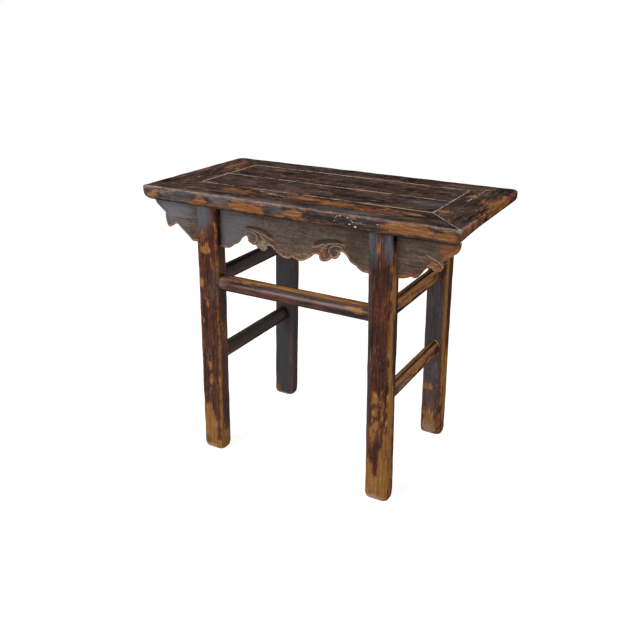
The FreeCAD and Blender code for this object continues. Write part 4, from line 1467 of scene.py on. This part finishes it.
def inner_grid(outline, step, margin):
    """Grid points inside an outline, a margin clear of it."""
    xs = [p[0] for p in outline]
    zs = [p[1] for p in outline]
    rim = tree_of(outline)
    corners = np.array([tuple(p) for p in outline])
    following = np.roll(corners, -1, axis=0)
    points = []
    for z in spaced(min(zs), max(zs), step):
        crossing = (corners[:, 1] > z) != (following[:, 1] > z)
        a, b = corners[crossing], following[crossing]
        hits = np.sort(a[:, 0] + (z - a[:, 1]) * (b[:, 0] - a[:, 0]) / (b[:, 1] - a[:, 1]))
        for x in spaced(min(xs), max(xs), step):
            if np.searchsorted(hits, x) % 2 and rim.find((x, z, 0))[2] > margin:
                points.append(Vector((x, z)))
    return points


def inset_outline(outline, bevel):
    """The outline moved inwards by the bevel, or by less where there is no room for it."""
    rim = tree_of(outline)
    count = len(outline)
    area = sum(a.x * b.y - b.x * a.y for a, b in zip(outline, outline[1:] + outline[:1]))
    turn = 1 if area > 0 else -1
    moved = []
    for k, point in enumerate(outline):
        run = (outline[(k + 2) % count] - outline[k - 2]).normalized()
        inwards = Vector((-run.y, run.x)) * turn
        reach = bevel
        while reach > merge_distance:
            nearest = rim.find((*(point + inwards * reach), 0))[2]
            if nearest >= reach * bevel_clear_share:
                break
            reach *= bevel_retry_share
        moved.append(point + inwards * reach)
    return moved


def flat_faces(points, outline_count):
    """Triangles that fill an outline, given first, using the points inside it too."""
    edges = [(k, (k + 1) % outline_count) for k in range(outline_count)]
    made = geometry.delaunay_2d_cdt(points, edges, [], 1, fill_tolerance)
    origins = [from_points[0] if from_points else None for from_points in made[3]]
    return [[origins[v] for v in face] for face in made[2]]


def apron_mesh(name, carved):
    """A board with the node's outline: its front carved or plain, its back bevelled."""
    sizes = bpy.context.scene.altar_apron
    low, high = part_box(name)
    front, back = low.y, high.y
    step = sizes.step if carved else sizes.step * plain_coarseness
    outline = resampled(front_outline(name), step)
    points = outline + inner_grid(outline, step, step * inner_clear_share)
    sawn = [p for p in outline if p.y < high.z - merge_distance]
    edge_distance = distances(points, tree_of(resampled_runs(sawn, step / edge_fineness)))
    depth, marks = carved_depth(points, edge_distance) if carved else (rounded_rim(edge_distance), {})
    count = len(outline)
    behind = inset_outline(outline, sizes.back_bevel if carved else sizes.rim_round)
    vertices = [(p.x, front + d, p.y) for p, d in zip(points, depth)]
    vertices += [(p.x, back, p.y) for p in behind]
    faces = flat_faces(points, count)
    offset = len(points)
    faces += [[offset + k for k in reversed(face)] for face in flat_faces(behind, count)]
    faces += [(k, (k + 1) % count, offset + (k + 1) % count, offset + k) for k in range(count)]
    mesh = bpy.data.meshes.new(name)
    mesh.from_pydata(vertices, [], faces)
    # The bevelled back is painted dark, as the shade along the sawn edge
    on_back = {"dark": np.full(count, apron_back_dark_share)}
    marks = {mark: np.concatenate([marks.get(mark, np.zeros(offset)), on_back.get(mark, np.zeros(count))])
             for mark in (*marks, *on_back)}
    shares = (np.array(vertices) - np.array(low)) / np.array(high - low)
    paint(mesh, shares, apron_mark_shares if carved else {}, marks)
    turn_outwards(mesh, merged=False)
    return mesh


def build_aprons():
    """The carved front apron and the plain rear one."""
    lacquer = worn_lacquer("apron lacquer", "apron", 0)
    for name, carved in (("front_apron", True), ("rear_apron", False)):
        mesh = apron_mesh(name, carved)
        soften(mesh)
        show("carved_" + name if carved else "worn_" + name, mesh, lacquer, "apron_lacquer", name)


# Filler and chips


def filler_tree():
    """Crumbling filler along lines: a flattened bead of uneven width."""
    tree, given = new_tree("filler", [
        ("Width", "Float"), ("Wander", "Float"), ("Station", "Float"), ("Material", "Material"),
    ])
    path = tree.add("GeometryNodeMeshToCurve", {"Mesh": given["Geometry"]})
    path = tree.add("GeometryNodeResampleCurve", {"Curve": path, "Length": given["Station"]}, mode="LENGTH")
    spot = tree.add("GeometryNodeInputPosition", {})
    wide = tree.noise(spot, "bead width")
    drift = tree.noise(spot, "bead drift", output=1)
    centred = tree.vector_math("SUBTRACT", drift, (0.5, 0.5, 0.5))
    offset = tree.add("ShaderNodeVectorMath", {0: centred, 3: given["Wander"]}, operation="SCALE")
    level = tree.vector_math("MULTIPLY", offset, (1.0, 1.0, 0.0))
    path = tree.add("GeometryNodeSetPosition", {"Geometry": path, "Offset": level})
    path = tree.add("GeometryNodeSetCurveNormal", {"Curve": path}, mode="Z_UP")
    size = {"Resolution": bead_sides, "Radius": given["Width"]}
    circle = tree.add("GeometryNodeCurvePrimitiveCircle", size)
    flat = tree.add("GeometryNodeTransform", {"Geometry": circle, "Scale": (1.0, bead_flat_share, 1.0)})
    scale = tree.rise(wide, *level_shares["bead width"])
    scale = tree.total(tree.scaled(scale, 1 - bead_least_share), bead_least_share)
    inputs = {"Curve": path, "Profile Curve": flat, "Scale": scale, "Fill Caps": True}
    bead = tree.add("GeometryNodeCurveToMesh", inputs)
    finish_tree(tree, bead, given["Material"])
    return tree


def line_mesh(name, lines):
    """Loose edges along lines of points."""
    points, edges = [], []
    for line in lines:
        edges += [(len(points) + k, len(points) + k + 1) for k in range(len(line) - 1)]
        points += [tuple(p) for p in line]
    mesh = bpy.data.meshes.new(name)
    mesh.from_pydata(points, edges, [])
    return mesh


def top_lines(up):
    """Where filler shows on the top: round the boards, between them, and in the mitres and cracks."""
    left, right, front, rear = field_low.x, field_high.x, field_low.y, field_high.y
    edge_x, edge_y = top_high.x, top_high.y
    arris = bpy.context.scene.altar_top.arris
    return [
        [(left, front, up), (right, front, up)],
        [(left, board_joint, up), (right, board_joint, up)],
        [(left, rear, up), (right, rear, up)],
        [(right, front, up), (right, rear, up)],
        [(left, front, up), (left, rear, up)],
        [(right, front, up), (edge_x - arris, -edge_y + arris, up)],
        [(left, front, up), ((left - edge_x) / 2, (front - edge_y) / 2, up)],
        [(right, rear, up), ((right + edge_x) / 2, (rear + edge_y) / 2, up)],
        *[[(x, y, up) for x, y in on_top(crack)] for crack in crack_shares],
    ]


def filler_mesh(name, width, material, lines):
    """Filler of a half width and a material along lines of points."""
    wear = bpy.context.scene.altar_wear
    values = {"Width": width, "Wander": wear.filler_width, "Station": wear.filler_step, "Material": material}
    return grown(name, filler_tree(), values, line_mesh(name + " lines", lines))


def build_filler():
    """Pale filler in the joints and cracks of the top, level with its surface."""
    shades, wear = bpy.context.scene.altar_colours, bpy.context.scene.altar_wear
    filler = chalky("filler", shades.filler, shades.pale, "putty")
    up = top_high.z - wear.filler_width * bead_flat_share
    mesh = filler_mesh("top_filler", wear.filler_width, filler, top_lines(up))
    show("top_filler", mesh, None, "top_lacquer")


def stretcher_joint_line(stretcher, y, turns):
    """Part of the line where a side stretcher meets a leg. Turns are from its right side upwards."""
    low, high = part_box(stretcher)
    middle = (low + high) / 2
    reach = 1 + bpy.context.scene.altar_wear.filler_width / (high.z - low.z)
    count = arc_steps * 2
    line = []
    for k in range(count + 1):
        turn = math.radians(turns[0] + (turns[1] - turns[0]) * k / count)
        x = middle.x + math.cos(turn) * (high.x - low.x) / 2 * reach
        line.append((x, y, middle.z + math.sin(turn) * (high.z - low.z) / 2 * reach))
    return line


def leg_across(across, up):
    """A place across the rear right leg, from a share of its width and one of its height."""
    foot, width, _, lean = leg_frame("rear_right_leg")
    return foot.x + lean * up + width * (across - 0.5)


def build_putty():
    """White putty where the side stretchers meet the rear right leg."""
    shades, wear = bpy.context.scene.altar_colours, bpy.context.scene.altar_wear
    putty = chalky("putty", shades.chalk, shades.pale, "putty")
    leg_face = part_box("rear_right_leg")[0].y
    lines = [
        stretcher_joint_line("right_lower_stretcher", leg_face, lower_putty_turns),
        stretcher_joint_line("right_upper_stretcher", leg_face, upper_putty_turns),
        [(leg_across(across, up), leg_face, up * top_low.z) for across, up in putty_lump_shares],
    ]
    mesh = filler_mesh("joint_putty", wear.putty_width, putty, lines)
    show("joint_putty", mesh, None, "leg_lacquer")


def chip_tree():
    """Small flat chips, sized at random, on given points."""
    tree, given = new_tree("chips", [("Size", "Float"), ("Seed", "Int"), ("Material", "Material")])
    form = {"Radius": given["Size"], "Subdivisions": chip_subdivisions}
    chip = tree.add("GeometryNodeMeshIcoSphere", form)
    ranges = {"Min": chip_least_shares, "Max": chip_most_shares, "Seed": given["Seed"]}
    size = tree.add("FunctionNodeRandomValue", ranges, data_type="FLOAT_VECTOR")
    inputs = {"Points": given["Geometry"], "Instance": chip, "Scale": size}
    chips = tree.add("GeometryNodeInstanceOnPoints", inputs)
    finish_tree(tree, chips, given["Material"])
    return tree


def build_chips():
    """White chips in the front edge of the top, none of them past it."""
    shades, wear = bpy.context.scene.altar_colours, bpy.context.scene.altar_wear
    white = chalky("chips", shades.chalk, shades.pale, "chalk")
    thickness = top_high.z - top_low.z
    y = top_low.y + wear.chip_size * chip_most_shares[1]
    points = [(top_low.x + x * top_high.x * 2, y, top_low.z + z * thickness) for x, z in chip_shares]
    seed_mesh = bpy.data.meshes.new("chip points")
    seed_mesh.from_pydata(points, [], [])
    values = {"Size": wear.chip_size, "Seed": random_seed, "Material": white}
    mesh = grown("edge_chips", chip_tree(), values, seed_mesh)
    show("edge_chips", mesh, None, "top_lacquer")


def build_bare_wood():
    """Gives the hidden pieces their own wood."""
    along_y = bare_softwood("bare wood", 1)
    for name in BARE_NODES:
        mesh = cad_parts[name].data
        mesh.materials.clear()
        mesh.materials.append(along_y)


# The stage


def emptied(owner):
    """The tree of a material or a world, without its first nodes."""
    owner.use_nodes = True
    owner.node_tree.nodes.clear()
    return Tree(owner.node_tree)


def seen_or_lit(tree, seen, lit):
    """Shows one shader to the camera and in reflections, and lights the scene by the other."""
    paths = tree.tree.nodes.new("ShaderNodeLightPath").outputs
    looked_at = tree.math("MAXIMUM", paths["Is Camera Ray"], paths["Is Glossy Ray"])
    looked_at = tree.math("MAXIMUM", looked_at, paths["Is Transmission Ray"])
    return tree.add("ShaderNodeMixShader", {0: looked_at, 1: lit, 2: seen})


def build_floor():
    """A plain pale floor that keeps the table's shadow."""
    stage = bpy.context.scene.altar_stage
    mesh = bpy.data.meshes.new("floor")
    half = stage.floor_width / 2
    corners = [(-half, -half), (half, -half), (half, half), (-half, half)]
    mesh.from_pydata([(x, y, -stage.floor_drop) for x, y in corners], [], [(0, 1, 2, 3)])
    material = bpy.data.materials.new("floor")
    tree = emptied(material)
    matt = tree.add("ShaderNodeBsdfDiffuse", {"Color": grey(stage.floor_tone)})
    glow = tree.add("ShaderNodeEmission", {"Color": grey(1.0), "Strength": stage.floor_glow})
    seen = tree.add("ShaderNodeAddShader", {0: matt, 1: glow})
    lit = tree.add("ShaderNodeBsdfDiffuse", {"Color": grey(stage.floor_bounce)})
    tree.feed(tree.tree.nodes.new("ShaderNodeOutputMaterial").inputs[0], seen_or_lit(tree, seen, lit))
    mesh.materials.append(material)
    placed("floor", mesh)


def build_sky():
    """A white background, and an even light from all round."""
    stage = bpy.context.scene.altar_stage
    world = bpy.data.worlds.new("studio")
    tree = emptied(world)
    even = tree.add("ShaderNodeBackground", {"Color": opaque(stage.sky_tint), "Strength": stage.sky})
    white = tree.add("ShaderNodeBackground", {"Color": grey(1.0), "Strength": 1.0})
    tree.feed(tree.tree.nodes.new("ShaderNodeOutputWorld").inputs[0], seen_or_lit(tree, white, even))
    bpy.context.scene.world = world


# Each lamp's name, its place, what it faces, its width, its strength in watts and its tint
LAMPS = [
    ("front", (-1.3, -2.6, 2.4), (0, 0, 0.5), 1.8, 56.0, (1.0, 0.99, 0.98)),
    ("right", (2.6, -0.9, 1.9), (0, 0, 0.5), 1.4, 13.0, (1.0, 0.97, 0.93)),
    ("above", (-0.4, 0.5, 3.0), (0, 0, 0.8), 1.6, 28.0, (0.97, 0.98, 1.0)),
]


def build_lamps():
    """Soft lamps that face the table."""
    stage = bpy.context.scene.altar_stage
    for name, place, target, width, power, tint in LAMPS:
        lamp = bpy.data.lights.new(name, "AREA")
        lamp.energy = power * stage.lamps
        lamp.size = width
        lamp.color = tint
        holder = placed(name, lamp)
        holder.location = place
        holder.rotation_euler = (Vector(target) - Vector(place)).to_track_quat("-Z", "Y").to_euler()


def build_camera():
    """The camera where the photograph was taken from."""
    stage = bpy.context.scene.altar_stage
    camera = bpy.data.cameras.new("camera")
    camera.lens = stage.lens
    holder = placed("camera", camera)
    turn = Matrix.Rotation(stage.heading, 4, "Z") @ Matrix.Rotation(math.pi / 2 - stage.dip, 4, "X")
    turn = turn @ Matrix.Rotation(stage.roll, 4, "Z")
    holder.matrix_world = Matrix.Translation(stage.eye) @ turn
    bpy.context.scene.camera = holder
    bpy.context.scene.view_settings.view_transform = "Standard"


class AltarBuildTop(bpy.types.Operator):
    """Build the worn rails and boards of the top"""

    bl_idname = "altar.build_top"
    bl_label = "Top"

    def execute(self, context):
        build_top()
        return {"FINISHED"}


class AltarBuildLegs(bpy.types.Operator):
    """Build the worn legs"""

    bl_idname = "altar.build_legs"
    bl_label = "Legs"

    def execute(self, context):
        build_legs()
        return {"FINISHED"}


class AltarBuildStretchers(bpy.types.Operator):
    """Build the oval stretchers"""

    bl_idname = "altar.build_stretchers"
    bl_label = "Stretchers"

    def execute(self, context):
        build_stretchers()
        return {"FINISHED"}


class AltarBuildAprons(bpy.types.Operator):
    """Build the carved front apron and the plain rear one"""

    bl_idname = "altar.build_aprons"
    bl_label = "Aprons"

    def execute(self, context):
        build_aprons()
        return {"FINISHED"}


class AltarBuildFiller(bpy.types.Operator):
    """Fill the joints of the top and round the stretchers"""

    bl_idname = "altar.build_filler"
    bl_label = "Filler"

    def execute(self, context):
        build_filler()
        build_putty()
        return {"FINISHED"}


class AltarBuildChips(bpy.types.Operator):
    """Scatter the white chips on the front edge"""

    bl_idname = "altar.build_chips"
    bl_label = "Chips"

    def execute(self, context):
        build_chips()
        return {"FINISHED"}


class AltarFinishBareWood(bpy.types.Operator):
    """Give the battens, pins and wedges their wood"""

    bl_idname = "altar.finish_bare_wood"
    bl_label = "Bare wood"

    def execute(self, context):
        build_bare_wood()
        return {"FINISHED"}


class AltarBuildStage(bpy.types.Operator):
    """Set up the floor, the light and the camera"""

    bl_idname = "altar.build_stage"
    bl_label = "Stage"

    def execute(self, context):
        build_floor()
        build_sky()
        build_lamps()
        build_camera()
        return {"FINISHED"}


OPERATORS = (
    AltarBuildTop, AltarBuildLegs, AltarBuildStretchers, AltarBuildAprons,
    AltarBuildFiller, AltarBuildChips, AltarFinishBareWood, AltarBuildStage,
)
SETTINGS = {
    "altar_top": AltarTopSizes, "altar_legs": AltarLegSizes, "altar_stretchers": AltarStretcherSizes,
    "altar_apron": AltarApronSizes, "altar_wear": AltarWear, "altar_colours": AltarColours,
    "altar_stage": AltarStage,
}


class AltarPanel(bpy.types.Panel):
    """Lists the settings and the steps that build the table"""

    bl_idname = "VIEW3D_PT_altar_table"
    bl_label = "Altar Table"
    bl_space_type = "VIEW_3D"
    bl_region_type = "UI"
    bl_category = "Altar Table"

    def draw(self, context):
        for name, group in SETTINGS.items():
            box = self.layout.box()
            box.label(text=group.__doc__)
            for setting in group.__annotations__:
                box.prop(getattr(context.scene, name), setting)
        for operator in OPERATORS:
            self.layout.operator(operator.bl_idname)


CLASSES = (*SETTINGS.values(), *OPERATORS, AltarPanel)


def register():
    for entry in CLASSES:
        bpy.utils.register_class(entry)
    for name, group in SETTINGS.items():
        setattr(bpy.types.Scene, name, bpy.props.PointerProperty(type=group))


def unregister():
    for name in SETTINGS:
        delattr(bpy.types.Scene, name)
    for entry in reversed(CLASSES):
        bpy.utils.unregister_class(entry)


def main():
    register()
    for operator in OPERATORS:
        group, action = operator.bl_idname.split(".")
        getattr(getattr(bpy.ops, group), action)()


if __name__ == "__main__":
    main()
